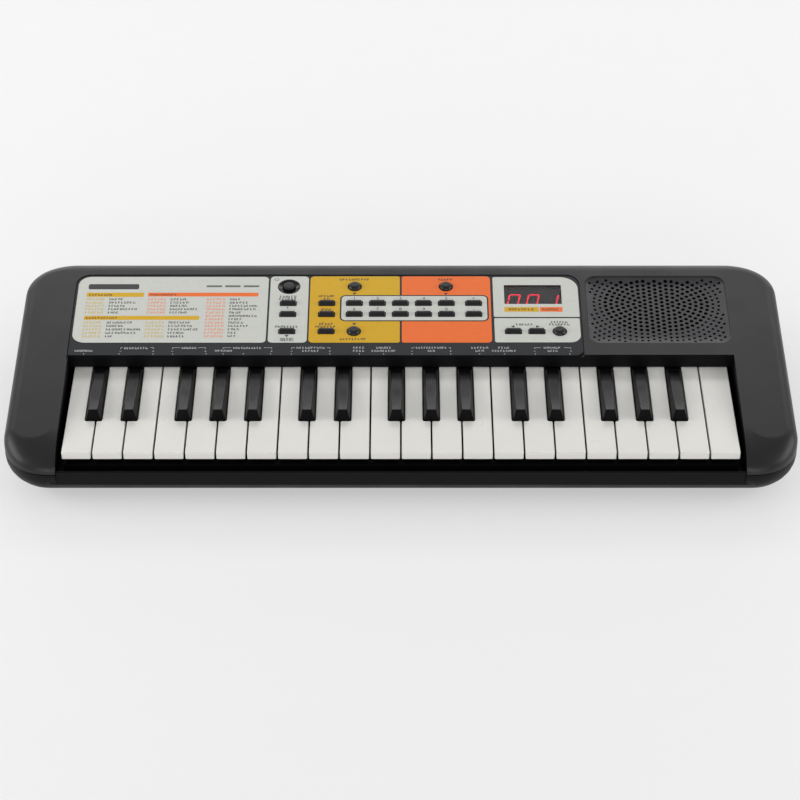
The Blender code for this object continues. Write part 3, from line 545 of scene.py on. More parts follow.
def glowing(name, colour, strength):
    """A lit segment, its glow a little uneven."""
    material, tree, shader = new_material(name, Roughness=0.4)
    shader.inputs["Base Color"].default_value = (*(channel * 0.3 for channel in colour), 1)
    shader.inputs["Emission Color"].default_value = (*colour, 1)
    spread = {"Value": noise(tree, 260, 1), "To Min": strength * 0.85, "To Max": strength * 1.15}
    level = add_node(tree, "ShaderNodeMapRange", spread).outputs["Result"]
    tree.links.new(level, shader.inputs["Emission Strength"])
    return material


def smoked(name):
    """A smoked window: it dims what is behind it and has a gloss of its own."""
    material, tree, shader = new_material(name, IOR=1.49, Specular_IOR_Level=0.3, Alpha=0.5)
    tint(tree, shader, noise(tree, 40, 2), (0.030, 0.026, 0.028), 0.05)
    gloss(tree, shader, noise(tree, 60, 3), 0.10, 0.16)
    return material


CASE = plastic("case_charcoal", (0.0065, 0.0065, 0.0078), 0.40)
# Black of the key chassis; also painted shade on the fascia, the arms' inner walls and the grille's holes
KEYBED_BLACK_AND_PAINTED_SHADE = plastic("keybed_black_and_painted_shade", (0.0015, 0.0015, 0.0018), 0.55, shine=0.18)
LOWER = plastic("lower_case_black", (0.0018, 0.0018, 0.0024), 0.42, shine=0.17)
# The case's own plastic, made lighter as a painted sheen on the grille
GRILLE = plastic("grille_grey_painted_sheen", (0.029, 0.028, 0.032), 0.40)
WHITE = plastic("key_white", (0.79, 0.78, 0.74), 0.30, grain=0.03, grain_size=0.0012, spread=0.012)
BLACK = plastic("key_black", (0.002, 0.002, 0.0024), 0.20, 0.04, 0.0006, 0.02)
# A darker, duller copy of the black keys' plastic: painted shade on their flanks and fronts
BLACK_KEY_PAINTED_SHADE = plastic("key_black_flank_painted_shade", (0.0012, 0.0012, 0.0014), 0.45, 0.08, 0.0006, 0.02, 0.12)
CAPS = plastic("button_grey", (0.0035, 0.0035, 0.004), 0.36, grain=0.15, grain_size=0.0004)
DISH = plastic("gloss_black", (0.003, 0.003, 0.004), 0.18, grain=0.03)
STRIP = printed("panel_slate", (0.011, 0.0125, 0.015))
CREAM = printed("ink_cream", (0.625, 0.64, 0.59))
YELLOW = printed("ink_yellow", (0.69, 0.40, 0.006))
ORANGE = printed("ink_orange", (0.90, 0.168, 0.026))
INK_DARK = printed("ink_dark", (0.045, 0.045, 0.045))
INK_BLACK = printed("ink_black", (0.012, 0.012, 0.013))
INK_GREY = printed("ink_grey", (0.13, 0.14, 0.13))
INK_WHITE = printed("ink_white", (0.44, 0.46, 0.47))
INK_BROWN = printed("ink_brown", (0.14, 0.07, 0.02))
INK_PALE_YELLOW = printed("ink_pale_yellow", (0.62, 0.45, 0.10))
INK_PALE_ORANGE = printed("ink_pale_orange", (0.85, 0.26, 0.13))
LIT = glowing("digit_red", (1.0, 0.010, 0.045), 4.6)
UNLIT = plastic("digit_unlit", (0.014, 0.009, 0.010), 0.5)
RUBBER = plastic("foot_rubber", (0.012, 0.012, 0.012), 0.75, grain=0.5, grain_size=0.0007)
STEEL = metal("plated_steel", (0.55, 0.55, 0.56), 0.25)
CLOTH = woven("speaker_cloth", (0.004, 0.004, 0.004), 0.0008)
BOARD = laminate("board_green", (0.012, 0.060, 0.026))
LENS = smoked("smoked_lens")
UNLIT_FACE = plastic("digit_face", (0.030, 0.024, 0.026), 0.6)
FLOOR_GLOW = {"Emission_Color": (1, 1, 1, 1), "Emission_Strength": 0.46}
FLOOR = plastic("floor_paper", (0.45, 0.45, 0.448), 0.8, 0.05, spread=0.004, **FLOOR_GLOW)
INKS = {"cream": CREAM, "yellow": YELLOW, "orange": ORANGE, "dark": INK_DARK, "grey": INK_GREY}
INKS |= {"pale_yellow": INK_PALE_YELLOW, "pale_orange": INK_PALE_ORANGE, "white": INK_WHITE}
INKS |= {"brown": INK_BROWN, "black": INK_BLACK}


# --- Meshes ----------------------------------------------------------------------------------------------


def finished(name, bm):
    bmesh.ops.recalc_face_normals(bm, faces=bm.faces)
    mesh = bpy.data.meshes.new(name)
    bm.to_mesh(mesh)
    bm.free()
    return mesh


def loft(name, rings, open_start=False, endless=False):
    """A skin over rings of equally many points, capped at the ends that aren't left open or joined."""
    bm = bmesh.new()
    loops = [[bm.verts.new(point) for point in ring] for ring in rings]
    count = len(rings[0])
    stretch = [*loops, loops[0]] if endless else loops
    for lower, upper in zip(stretch, stretch[1:]):
        for i in range(count):
            j = (i + 1) % count
            bm.faces.new((lower[i], lower[j], upper[j], upper[i]))
    if not endless:
        bm.faces.new(loops[-1])
    if not (open_start or endless):
        bm.faces.new(reversed(loops[0]))
    return finished(name, bm)


def box(name, low, high):
    low, high = Vector(low), Vector(high)
    bm = bmesh.new()
    bmesh.ops.create_cube(bm, size=1)
    bmesh.ops.scale(bm, vec=high - low, verts=bm.verts)
    bmesh.ops.translate(bm, vec=(low + high) / 2, verts=bm.verts)
    return finished(name, bm)


def turned(name, profile, steps=40):
    """A profile of (radius, height) points turned about Z, with flat ends."""
    angles = [2 * math.pi * i / steps for i in range(steps)]
    return loft(name, [[(r * math.cos(a), r * math.sin(a), z) for a in angles] for r, z in profile])


def level(outline, z):
    return [(x, y, z) for x, y in outline]


def prism(name, outline, low, high):
    return loft(name, [level(outline, low), level(outline, high)])


def joined(name, meshes):
    """One mesh that holds several, which are used up."""
    bm = bmesh.new()
    for mesh in meshes:
        bm.from_mesh(mesh)
        bpy.data.meshes.remove(mesh)
    made = bpy.data.meshes.new(name)
    bm.to_mesh(made)
    bm.free()
    return made


def moved(mesh, *offset):
    mesh.transform(Matrix.Translation(Vector(offset)))
    return mesh


def put_in_scene(name, data):
    placed = bpy.data.objects.new(name, data)
    bpy.context.scene.collection.objects.link(placed)
    return placed


def shaped(name, base, steps):
    """The mesh that is left of base after Booleans, given as (operation, mesh) in order."""
    holder = put_in_scene(name, base)
    tools = []
    for operation, mesh in steps:
        tools.append(put_in_scene("tool", mesh))
        modifier = holder.modifiers.new("cut", "BOOLEAN")
        modifier.object = tools[-1]
        modifier.operation = operation
    made = evaluated(holder)
    for used in (holder, *tools):
        bpy.data.objects.remove(used, do_unlink=True)
    made.name = name
    return made


def shelled(mesh, wall):
    """An open skin thickened inwards."""
    holder = put_in_scene("shell", mesh)
    solid = holder.modifiers.new("wall", "SOLIDIFY")
    solid.thickness = wall
    solid.offset = -1
    solid.use_even_offset = True
    made = evaluated(holder)
    bpy.data.objects.remove(holder, do_unlink=True)
    return made


def evaluated(holder):
    bpy.context.view_layer.update()
    return bpy.data.meshes.new_from_object(holder.evaluated_get(bpy.context.evaluated_depsgraph_get()))


def bevelled(mesh, width, chosen=None, segments=3, sharper_than=30):
    """Rounds the convex edges that are sharp and for which chosen(edge) holds."""
    bm = bmesh.new()
    bm.from_mesh(mesh)
    limit = math.radians(sharper_than)
    edges = [e for e in bm.edges if e.is_convex and e.calc_face_angle(0) > limit]
    edges = [e for e in edges if not chosen or chosen(e)]
    bmesh.ops.bevel(
        bm, geom=edges, offset=width, segments=segments, profile=0.5, affect="EDGES", clamp_overlap=True
    )
    bm.to_mesh(mesh)
    bm.free()
    return mesh


def smooth(mesh, sharper_than=35):
    mesh.shade_smooth()
    mesh.set_sharp_from_angle(angle=math.radians(sharper_than))
    return mesh


def two_finishes(mesh, first, second, chosen):
    """The first material all over, but for the faces for which chosen(face) holds."""
    mesh.materials.clear()
    mesh.materials.append(first)
    mesh.materials.append(second)
    for face in mesh.polygons:
        face.material_index = int(chosen(face))
    return mesh


def add_piece(name, mesh, material, body="case", place=None, replaces=()):
    """A finished piece that moves with a body. It may stand for the frame's plain solids."""
    piece = put_in_scene(name, mesh)
    if not mesh.materials:
        mesh.materials.append(material)
    if place is not None:
        piece.matrix_world = place
    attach(piece, body)
    if replaces:
        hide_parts(*replaces)
    normals = piece.modifiers.new("even shading", "WEIGHTED_NORMAL")
    normals.keep_sharp = True
    return piece


# --- Outlines --------------------------------------------------------------------------------------------


def arc(centre, radius, start, sweep, steps):
    """Points along an arc, in degrees, both ends included."""
    angles = [math.radians(start + sweep * i / steps) for i in range(steps + 1)]
    return [(centre[0] + radius * math.cos(a), centre[1] + radius * math.sin(a)) for a in angles]


def circle(centre, radius, steps):
    return arc(centre, radius, 0, 360, steps)[:-1]


def filleted(corners, steps=5):
    """A polygon of (x, y, radius) corners with each corner rounded to its radius."""
    points = []
    for i, (x, y, radius) in enumerate(corners):
        here = Vector((x, y))
        if not radius:
            points.append((x, y))
            continue
        back = (Vector(corners[i - 1][:2]) - here).normalized()
        ahead = (Vector(corners[(i + 1) % len(corners)][:2]) - here).normalized()
        half = back.angle(ahead) / 2
        centre = here + (back + ahead).normalized() * radius / math.sin(half)
        first, last = (here + way * radius / math.tan(half) - centre for way in (back, ahead))
        start = math.atan2(first.y, first.x)
        sweep = (math.atan2(last.y, last.x) - start + math.pi) % (2 * math.pi) - math.pi
        points += arc(centre, radius, math.degrees(start), math.degrees(sweep), steps)
    return points


def rounded(x_range, y_range, radii, steps=5):
    """A rectangle with round corners: front left, front right, rear right, rear left."""
    (x0, x1), (y0, y1) = x_range, y_range
    if isinstance(radii, (int, float)):
        radii = (radii,) * 4
    return filleted([(x, y, r) for (x, y), r in zip(((x0, y0), (x1, y0), (x1, y1), (x0, y1)), radii)], steps)


def around(centre, half_x, half_y, radius, steps=3):
    """A rectangle with round corners about its middle."""
    x, y = centre
    return rounded((x - half_x, x + half_x), (y - half_y, y + half_y), radius, steps)


def grown(span, by):
    return span[0] - by, span[1] + by


def deck_z(y):
    """Height of the case's sloping top."""
    return PANEL_ORIGIN.z + DECK_PROUD + (y - FASCIA_Y) * math.tan(SLOPE)


def case_outline():
    """(point, outward normal) round the case's plan, anticlockwise."""
    corners = (
        (1, -1, FRONT_CORNER_R, -90),
        (1, 1, REAR_CORNER_R, 0),
        (-1, 1, REAR_CORNER_R, 90),
        (-1, -1, FRONT_CORNER_R, 180),
    )
    found = []
    for sx, sy, radius, start in corners:
        centre = Vector((sx * (WIDTH / 2 - radius), sy * (DEPTH / 2 - radius)))
        for i in range(CORNER_STEPS + 1):
            angle = math.radians(start + 90 * i / CORNER_STEPS)
            normal = Vector((math.cos(angle), math.sin(angle)))
            found.append((centre + radius * normal, normal))
    return found


def case_rings(rounding, wall_z, flat_z, sense):
    """Rings of half of the case: a chamfer at the parting line, the wall, then the rounded edge.

    sense is 1 for the upper half and -1 for the lower. The rounding blends round the corners."""
    outline = case_outline()
    chamfer = PARTING_CHAMFER
    rings = [[(*(p - n * chamfer), wall_z) for p, n in outline]]
    rings.append([(*p, wall_z + sense * chamfer) for p, _ in outline])
    for step in range(ROUNDING_STEPS + 1):
        angle = math.pi / 2 * step / ROUNDING_STEPS
        ring = []
        for point, normal in outline:
            share = normal.y * normal.y
            end = rounding["front" if normal.y < 0 else "rear"]
            inward, upward = (a * (1 - share) + b * share for a, b in zip(rounding["side"], end))
            place = point - normal * inward * (1 - math.cos(angle))
            ring.append((place.x, place.y, flat_z(place.y) - sense * upward * (1 - math.sin(angle))))
        rings.append(ring)
    return rings


# --- Where the frame's buttons are -----------------------------------------------------------------------


def on_panel(node):
    """(x, up-slope) of a button's middle on the panel."""
    found = [PLANE.inverted() @ v.co for v in NODES[node].data.vertices]
    return tuple((min(p[i] for p in found) + max(p[i] for p in found)) / 2 for i in range(2))


ROUND_NAMES = ("song_style_button", "voice_button", "start_stop_button", "portable_button")
BAR_NAMES = sorted(n for n in NODES if n.endswith("_button") and n not in (*ROUND_NAMES, "power_button"))
BARS = {name: on_panel(name) for name in BAR_NAMES}
ROUNDS = {name: on_panel(name) for name in ROUND_NAMES}
POWER = on_panel("power_button")
PAD_COLUMNS = [-0.0311 + 0.01538 * i for i in range(5)] + [0.04865]
PAD_ROWS = (0.0522, 0.0410)
PAD_PLACES = [(x, s) for s in PAD_ROWS for x in PAD_COLUMNS]


def bar_hole(place, margin):
    return around(place, CAP_HALF[0] + margin, CAP_HALF[1] + margin, CAP_CORNER_R)


def window_cutter(margin=0.0, with_caps=True):
    """Prisms for every hole through the panel, each grown by a margin."""
    bars = [*BARS.values(), *(PAD_PLACES if with_caps else ())]
    outlines = [bar_hole(place, BUTTON_CLEARANCE + margin) for place in bars]
    circles = [(place, ROUND_R + BUTTON_CLEARANCE) for place in ROUNDS.values()] + [(POWER, DISH_R + GAP)]
    outlines += [circle(place, radius + margin, 36) for place, radius in circles]
    outlines.append(rounded(grown(WINDOW_X, margin), grown(WINDOW_S, margin), WINDOW_R, 3))
    return joined("windows", [prism("window", outline, -BEYOND, BEYOND) for outline in outlines])


# --- Case ------------------------------------------------------------------------------------------------


def recess_outline(inset):
    return rounded(grown(RECESS_X, -inset), grown(RECESS_S, -inset), RECESS_R - inset / 2, 8)


def recess_cutter():
    """The speaker's recess as it cuts the deck: straight below, with a rounded rim above."""
    rings = [level(recess_outline(0), -2 * BEYOND)]
    for degrees in range(0, 81, 16):
        angle = math.radians(degrees)
        inset = -RECESS_LIP_R * (1 - math.cos(angle))
        rings.append(level(recess_outline(inset), DECK_PROUD - RECESS_LIP_R * (1 - math.sin(angle))))
    rings.append(level(recess_outline(-RECESS_LIP_R), BEYOND))
    return loft("recess", rings)


def bed_cutter():
    """The shallow bed that the panel lies in, with a rounded rim."""
    rings = []
    for outside, z in ((0, -PANEL_THICKNESS - GAP), *BED_RIM):
        grow = GAP + outside
        front = (PANEL_S[0] - BEYOND, PANEL_S[1] + grow)
        rings.append(level(rounded(grown(PANEL_X, grow), front, PANEL_RADII, 8), z))
    return loft("bed", rings)


def on_plane(mesh):
    mesh.transform(PLANE)
    return mesh


def make_upper_shell():
    rings = case_rings(UPPER_ROUNDING, PARTING_Z, deck_z, 1)
    over = deck_z(DEPTH / 2) + BEYOND
    ahead = -DEPTH / 2 - BEYOND
    inner = KEYBED_X + FASCIA_WALL
    walls = box("walls", (-inner, ahead, PARTING_Z), (inner, FASCIA_Y + FASCIA_WALL, over))
    walls = shaped("walls", walls, [("INTERSECT", loft("body", rings))])
    deck_holes = window_cutter(with_caps=False)
    slot = box("slot", (-KEYBED_X, FASCIA_Y - BEYOND, 0), (KEYBED_X, KEY_SLOT_REAR_Y, FASCIA_FOOT_Z))
    pad_hole = prism("pad", rounded(PAD_HOLE_X, PAD_HOLE_S, PAD_HOLE_R), -BEYOND, BEYOND)
    mesh = shaped(
        "upper_shell",
        shelled(loft("skin", rings, open_start=True), UPPER_WALL),
        [
            ("UNION", walls),
            ("DIFFERENCE", box("space", (-KEYBED_X, ahead, 0), (KEYBED_X, FASCIA_Y, over))),
            ("DIFFERENCE", slot),
            ("DIFFERENCE", on_plane(bed_cutter())),
            ("DIFFERENCE", on_plane(recess_cutter())),
            ("DIFFERENCE", on_plane(joined("deck_windows", [deck_holes, pad_hole]))),
            ("DIFFERENCE", rear_cutter()),
        ],
    )

    # The fascia and the arms' inner walls take the black finish as painted shade
    def painted_shade_round_keys(face):
        x, y, _ = face.center
        on_fascia = abs(y - FASCIA_Y) < TINY and abs(x) < KEYBED_X
        return on_fascia or (abs(abs(x) - KEYBED_X) < TINY and y < FASCIA_Y)

    def visible_rim(edge):
        ends = [v.co for v in edge.verts]
        if min(p.z for p in ends) < PARTING_Z + PARTING_CHAMFER:
            return False
        arms = all(abs(abs(p.x) - KEYBED_X) < TINY for p in ends) and max(p.y for p in ends) < FASCIA_Y + TINY
        fascia = all(abs(p.y - FASCIA_Y) < TINY and p.z > PANEL_ORIGIN.z for p in ends)
        return arms or fascia

    two_finishes(mesh, CASE, KEYBED_BLACK_AND_PAINTED_SHADE, painted_shade_round_keys)
    bevelled(mesh, ARM_EDGE_R, visible_rim)
    add_piece("upper_shell", smooth(mesh), CASE, replaces=["upper_case"])


def rear_cutter():
    """The openings for a headphone plug and a power plug, each with a flared rim."""
    rear = CAD_BOX[1].y
    stations = ((0, -BEYOND), (0, -REAR_RIM), (REAR_RIM, 0), (REAR_RIM, BEYOND))
    openings = []
    for x, half_width, half_height, radius, widening in REAR_OPENINGS:
        rings = []
        for grow, y in stations:
            halves = (half_width + grow, half_height + grow)
            outline = around((x, REAR_OPENING_Z), *halves, radius + widening * grow, 8)
            rings.append([(a, rear + y, b) for a, b in outline])
        openings.append(loft("opening", rings))
    return joined("rear_openings", openings)


def lower_cutters():
    """What is cut out of the lower case: the battery space, and a counterbore for each screw."""
    low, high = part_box("battery_door")
    bay = rounded(grown((low.x, high.x), GAP), grown((low.y, high.y), GAP), BAY_CORNER_R)
    cuts = [prism("bay", bay, -BEYOND, BAY_TOP_Z)]
    for place in SCREWS:
        cuts.append(loft("bore", [level(circle(place, r, 24), z) for r, z in SCREW_BORE]))
    return joined("lower_cuts", cuts)


def make_lower_shell():
    rings = case_rings(LOWER_ROUNDING, PARTING_Z - GAP, lambda y: BASE_Z, -1)
    skin = shelled(loft("skin", rings, open_start=True), LOWER_WALL)
    lip_profile = [
        (LIP_Y, LIP_BOTTOM_Z, 0),
        (LIP_Y + LOWER_WALL, LIP_BOTTOM_Z, 0),
        (LIP_Y + LOWER_WALL, LIP_TOP_Z, LIP_RADII[0]),
        (LIP_Y, LIP_TOP_Z, LIP_RADII[1]),
    ]
    inner = KEYBED_X - GAP
    lip = loft("lip", [[(x, y, z) for y, z in filleted(lip_profile)] for x in (-inner, inner)])
    low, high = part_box("battery_door")
    bay_low = (low.x - BAY_WALL, low.y - BAY_WALL, BASE_Z + LOWER_WALL / 2)
    bay = box("bay_walls", bay_low, (high.x + BAY_WALL, high.y + BAY_WALL, BAY_TOP_Z + BAY_WALL))
    posts = [circle(place, SCREW_POST_R, 24) for place in SCREWS]
    posts = [prism("post", post, BASE_Z + TINY, SCREW_POST_TOP_Z) for post in posts]
    pads = [prism("foot", circle(place, FOOT_SEAT_R, 32), FOOT_SEAT_Z, BASE_Z + TINY * 5) for place in FEET]
    ahead = box("ahead", (-KEYBED_X, -DEPTH / 2 - BEYOND, 0), (KEYBED_X, LIP_Y, LIP_TOP_Z + BEYOND))
    added = (lip, bay, joined("posts", posts), joined("pads", pads))
    steps = [("UNION", solid) for solid in added] + [("DIFFERENCE", cut) for cut in (ahead, lower_cutters())]
    mesh = shaped("lower_shell", skin, steps)
    add_piece("lower_shell", smooth(mesh), LOWER, replaces=["lower_case"])
    for i, place in enumerate(FEET):
        foot = moved(turned(f"foot_{i}", FOOT_PROFILE, 32), *place, 0)
        add_piece(f"foot_{i}", smooth(foot), RUBBER)
    for i, place in enumerate(SCREWS):
        make_screw(f"screw_{i}", place)


def make_screw(name, place):
    """A pan-head cross-point screw, head downwards."""
    long, half = SCREW_SLOT
    quarter = ((long, -half), (long, half), (half, half))
    turns = [Matrix.Rotation(math.radians(90 * i), 2) for i in range(4)]
    outline = [tuple(turn @ Vector(point)) for turn in turns for point in quarter]
    cross = prism("cross", outline, SCREW_PROFILE[0][1] - TINY * 10, SCREW_SLOT_TOP)
    mesh = shaped(name, turned(name, SCREW_PROFILE, 28), [("DIFFERENCE", cross)])
    add_piece(name, smooth(moved(mesh, *place, SCREW_SEAT_Z)), STEEL)


def make_battery_cover():
    """The door, with a thumb hollow and a row of grip ribs by its free edge."""
    low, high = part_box("battery_door")
    rings = []
    for inset, z in ((DOOR_CHAMFER, low.z), (0, low.z + DOOR_CHAMFER), (0, high.z)):
        outline = rounded(grown((low.x, high.x), -inset), grown((low.y, high.y), -inset), DOOR_CORNER_R)
        rings.append(level(outline, z))
    hollow = (low.x + high.x) / 2, high.y - THUMB_INSET
    scoop = loft("scoop", [level(circle(hollow, r, 40), low.z + z) for r, z in THUMB_PROFILE])
    across, half = GROOVE_HALF
    grooves = []
    for i in range(-2, 3):
        y = hollow[1] - GROOVE_SETBACK + i * GROOVE_PITCH
        grooves.append(box("groove", (-across, y - half, low.z - BEYOND), (across, y + half, low.z + half)))
    cuts = [("DIFFERENCE", scoop), ("DIFFERENCE", joined("grooves", grooves))]
    mesh = shaped("battery_cover", loft("battery_cover", rings), cuts)
    add_piece("battery_cover", smooth(mesh), LOWER, "battery_door", replaces=["battery_door"])


# --- Speaker grille --------------------------------------------------------------------------------------


def grille_holes():
    """Middles and ring numbers of the holes: half rings about two foci, joined by three columns."""
    x, s = SPEAKER_CENTRE
    found = []
    for ring in range(GRILLE_RINGS):
        steps = 3 * ring
        for side in (-1, 1):
            for i in range(steps + 1):
                angle = math.pi * (0.5 - (i / steps if steps else 0.5))
                across = 2 * GRILLE_PITCH + ring * GRILLE_PITCH * math.cos(angle)
                found.append(((x + side * across, s + ring * GRILLE_PITCH * math.sin(angle)), ring))
        for column in (-1, 0, 1):
            up = (ring + abs(column) / 2) * GRILLE_PITCH
            found += [((x + column * GRILLE_PITCH, s + way), ring) for way in {up, -up}]
    floor_x, floor_s = (grown(span, -GRILLE_EDGE) for span in (RECESS_X, RECESS_S))
    return [(place, ring) for place, ring in found if within(place, floor_x, floor_s, RECESS_R - GRILLE_EDGE)]


def within(place, x_range, y_range, radius):
    """Whether a place is inside a rectangle with round corners."""
    overshoot = []
    for value, (low, high) in zip(place, (x_range, y_range)):
        overshoot.append(max(low + radius - value, value - high + radius, 0))
    return math.hypot(*overshoot) <= radius


def divided(outline, step):
    """The outline with its long sides divided, so that no step is longer than this."""
    points = []
    for start, end in zip(outline, outline[1:] + outline[:1]):
        pieces = math.ceil(math.dist(start, end) / step)
        points += [Vector(start).lerp(Vector(end), i / pieces) for i in range(pieces)]
    return points


def dish_height(x, s):
    """Height of the grille's face, which falls away from its rim."""
    side = min(x - RECESS_X[0], RECESS_X[1] - x) / DISH_SIDE
    along = min((s - RECESS_S[0]) / DISH_FRONT, (RECESS_S[1] - s) / DISH_REAR)
    rise = min(1, math.hypot(max(0, 1 - side), max(0, 1 - along)))
    return GRILLE_TOP - (RECESS_DEPTH + GRILLE_TOP) * (1 - rise**DISH_POWER)


def make_grille():
    """The dished insert. Its plan is triangulated once, then lifted to the dish and to each hole's depth."""
    points, edges, polygons, kinds = [], [], [], []

    def add_ring(outline):
        first = len(points)
        points.extend(Vector(p) for p in outline)
        return list(range(first, len(points)))

    loops = [add_ring(divided(recess_outline(inset), GRILLE_STEP)) for inset in GRILLE_INSETS]
    for ring in loops:
        edges += list(zip(ring, ring[1:] + ring[:1]))
    rim = loops[0]
    for place, number in grille_holes():
        open_hole = number <= LAST_OPEN_RING
        radius = OPEN_HOLE_R if open_hole else BLIND_HOLE_R
        polygons.append(add_ring(circle(place, radius, GRILLE_HOLE_STEPS)))
        kinds.append(open_hole)

    flat, _, faces, origins, _, owners = geometry.delaunay_2d_cdt(points, edges, polygons, 0, 1e-7)
    bm = bmesh.new()
    top, blind, bottom = [], [], []
    for place in flat:
        height = dish_height(*place)
        top.append(bm.verts.new((*place, height)))
        blind.append(bm.verts.new((*place, height - BLIND_DEPTH)))
        bottom.append(bm.verts.new((*place, GRILLE_BOTTOM)))
    for face, owner in zip(faces, owners):
        in_open = any(kinds[hole] for hole in owner)
        if not owner:
            bm.faces.new([top[i] for i in face])
        elif not in_open:
            # The floors of blind holes are painted shade, in the black finish
            bm.faces.new([blind[i] for i in face]).material_index = 1
        if not in_open:
            bm.faces.new([bottom[i] for i in reversed(face)])
    number_of = {origin: i for i, found in enumerate(origins) for origin in found}
    for loop, to_bottom in [(rim, True), *zip(polygons, kinds)]:
        ends = bottom if to_bottom else blind
        ring = [number_of[i] for i in loop]
        for a, b in zip(ring, ring[1:] + ring[:1]):
            # The holes' walls are painted shade, in the black finish; the rim's wall keeps the grille's colour
            wall = bm.faces.new((top[a], top[b], ends[b], ends[a]))
            wall.material_index = int(loop is not rim)
    bmesh.ops.delete(bm, geom=[v for v in bm.verts if not v.link_faces], context="VERTS")
    mesh = finished("speaker_grille", bm)
    mesh.materials.append(GRILLE)
    mesh.materials.append(KEYBED_BLACK_AND_PAINTED_SHADE)
    add_piece("speaker_grille", smooth(mesh), GRILLE, place=PLANE)

    sheet = moved(turned("speaker_cloth", CLOTH_PROFILE, 48), *SPEAKER_CENTRE, 0)
    add_piece("speaker_cloth", smooth(sheet), CLOTH, place=PLANE)


# --- Keys ------------------------------------------------------------------------------------------------


def knuckle(left, right):
    """The lobe under a key's tail, about the hinge line."""
    side = [(HINGE.y + KNUCKLE_R, KNUCKLE_TOP_Z), (HINGE.y - KNUCKLE_R, KNUCKLE_TOP_Z)]
    side += arc((HINGE.y, HINGE.z), KNUCKLE_R, 180, 180, 10)
    return loft("knuckle", [[(x, y, z) for y, z in side] for x in (left + GAP, right - GAP)])


def make_white_key(node, blacks):
    """Narrowed at the rear beside each black key that stands over it."""
    low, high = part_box(node)
    left, right = low.x, high.x
    for black_low, black_high in blacks:
        if black_low.x < low.x < black_high.x:
            left = black_high.x + BLACK_SIDE_GAP
        if black_low.x < high.x < black_high.x:
            right = black_low.x - BLACK_SIDE_GAP
    rear = HINGE.y + KNUCKLE_R
    outer, inner = NOTCH_RADII
    corners = [(low.x, low.y, KEY_CORNER_R), (high.x, low.y, KEY_CORNER_R)]
    if right < high.x:
        corners += [(high.x, NOTCH_Y, outer), (right, NOTCH_Y, inner)]
    corners += [(right, rear, 0), (left, rear, 0)]
    if left > low.x:
        corners += [(left, NOTCH_Y, inner), (low.x, NOTCH_Y, outer)]
    key = prism(node, filleted(corners), KEY_TOP_Z - KEY_THICKNESS, KEY_TOP_Z)
    bevelled(key, KEY_EDGE_R, lambda edge: min(v.co.z for v in edge.verts) > KEY_TOP_Z - TINY)
    mesh = shaped(f"{node}_top", key, [("UNION", knuckle(left, right))])
    add_piece(f"{node}_top", smooth(mesh), WHITE, node, replaces=[node])


def make_black_key(node):
    """A tapering ridge with softened edges, and a flat tongue that runs under the fascia."""
    low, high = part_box(node)
    middle = (low.x + high.x) / 2
    half = (high.x - low.x) / 2
    inner = half - 2 * BLACK_SHOULDER
    bottom = KEY_TOP_Z - KEY_THICKNESS
    shoulder = (half, KEY_TOP_Z - BLACK_SHOULDER, half - BLACK_SHOULDER, KEY_TOP_Z)
    tongue = (half - BLACK_SHOULDER, KEY_TOP_Z - BLACK_SHOULDER, inner, KEY_TOP_Z)
    front = (low.y + BLACK_FRONT[0], BLACK_FRONT[1], high.z)
    crowned = []
    for step in range(BLACK_STEPS + 1):
        share = step / BLACK_STEPS
        y, crest, top = (a + (b - a) * share for a, b in zip(front, BLACK_REAR))
        crowned.append((y, half, KEY_TOP_Z, crest, top + 4 * BLACK_CROWN * share * (1 - share)))
    # y, then half width and height where the side starts to lean in, then the same at the top
    sections = (
        (low.y, *shoulder),
        *crowned,
        (TONGUE_Y[0], *shoulder),
        (TONGUE_Y[1], *tongue),
        (HINGE.y + KNUCKLE_R, *tongue),
    )
    rings = []
    for y, base, base_z, crest, crest_z in sections:
        side = ((base, bottom), (base, base_z), (crest, crest_z))
        rings.append([(middle + x, y, z) for x, z in (*side, *((-x, z) for x, z in reversed(side)))])

    def on_ridge(edge):
        return min(v.co.z for v in edge.verts) > KEY_TOP_Z + 2 * BLACK_SHOULDER

    key = bevelled(loft(node, rings), BLACK_EDGE_R, on_ridge, segments=4, sharper_than=20)
    mesh = shaped(f"{node}_top", key, [("UNION", knuckle(middle - inner, middle + inner))])
    # Flanks and front faces take the darker copy as painted shade
    two_finishes(mesh, BLACK, BLACK_KEY_PAINTED_SHADE, lambda face: abs(face.normal.x) > STEEP or face.normal.y < -STEEP)
    add_piece(f"{node}_top", smooth(mesh, 45), BLACK, node, replaces=[node])


def make_keys():
    blacks = [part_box(name) for name in NODES if name.startswith("black_key")]
    for name in NODES:
        if name.startswith("white_key"):
            make_white_key(name, blacks)
        elif name.startswith("black_key"):
            make_black_key(name)


# --- Buttons ---------------------------------------------------------------------------------------------


def cap_rings(place):
    """A bar cap: upright, then leaning in to a narrow, softly rounded ridge."""
    x, s = place
    rings = []
    for inset, front, rear, z in CAP_STATIONS:
        across = grown((x, x), CAP_HALF[0] - inset)
        outline = rounded(across, (s - CAP_HALF[1] + front, s + CAP_HALF[1] - rear), CAP_CORNER_R - front / 6, 3)
        rings.append(level(outline, z))
    return rings


def make_bar_button(node):
    stem = around(BARS[node], STEM_HALF, STEM_HALF, STEM_HALF / 5)
    flange = around(BARS[node], CAP_HALF[0] + FLANGE_PROUD, CAP_HALF[1] + FLANGE_PROUD, CAP_CORNER_R)
    rings = [level(stem, -STEM_DEPTH), level(stem, -FLANGE_DEPTH[1])]
    rings += [level(flange, -FLANGE_DEPTH[1]), level(flange, -FLANGE_DEPTH[0]), *cap_rings(BARS[node])]
    add_piece(f"{node}_cap", smooth(loft(node, rings), 28), CAPS, node, PLANE, [node])


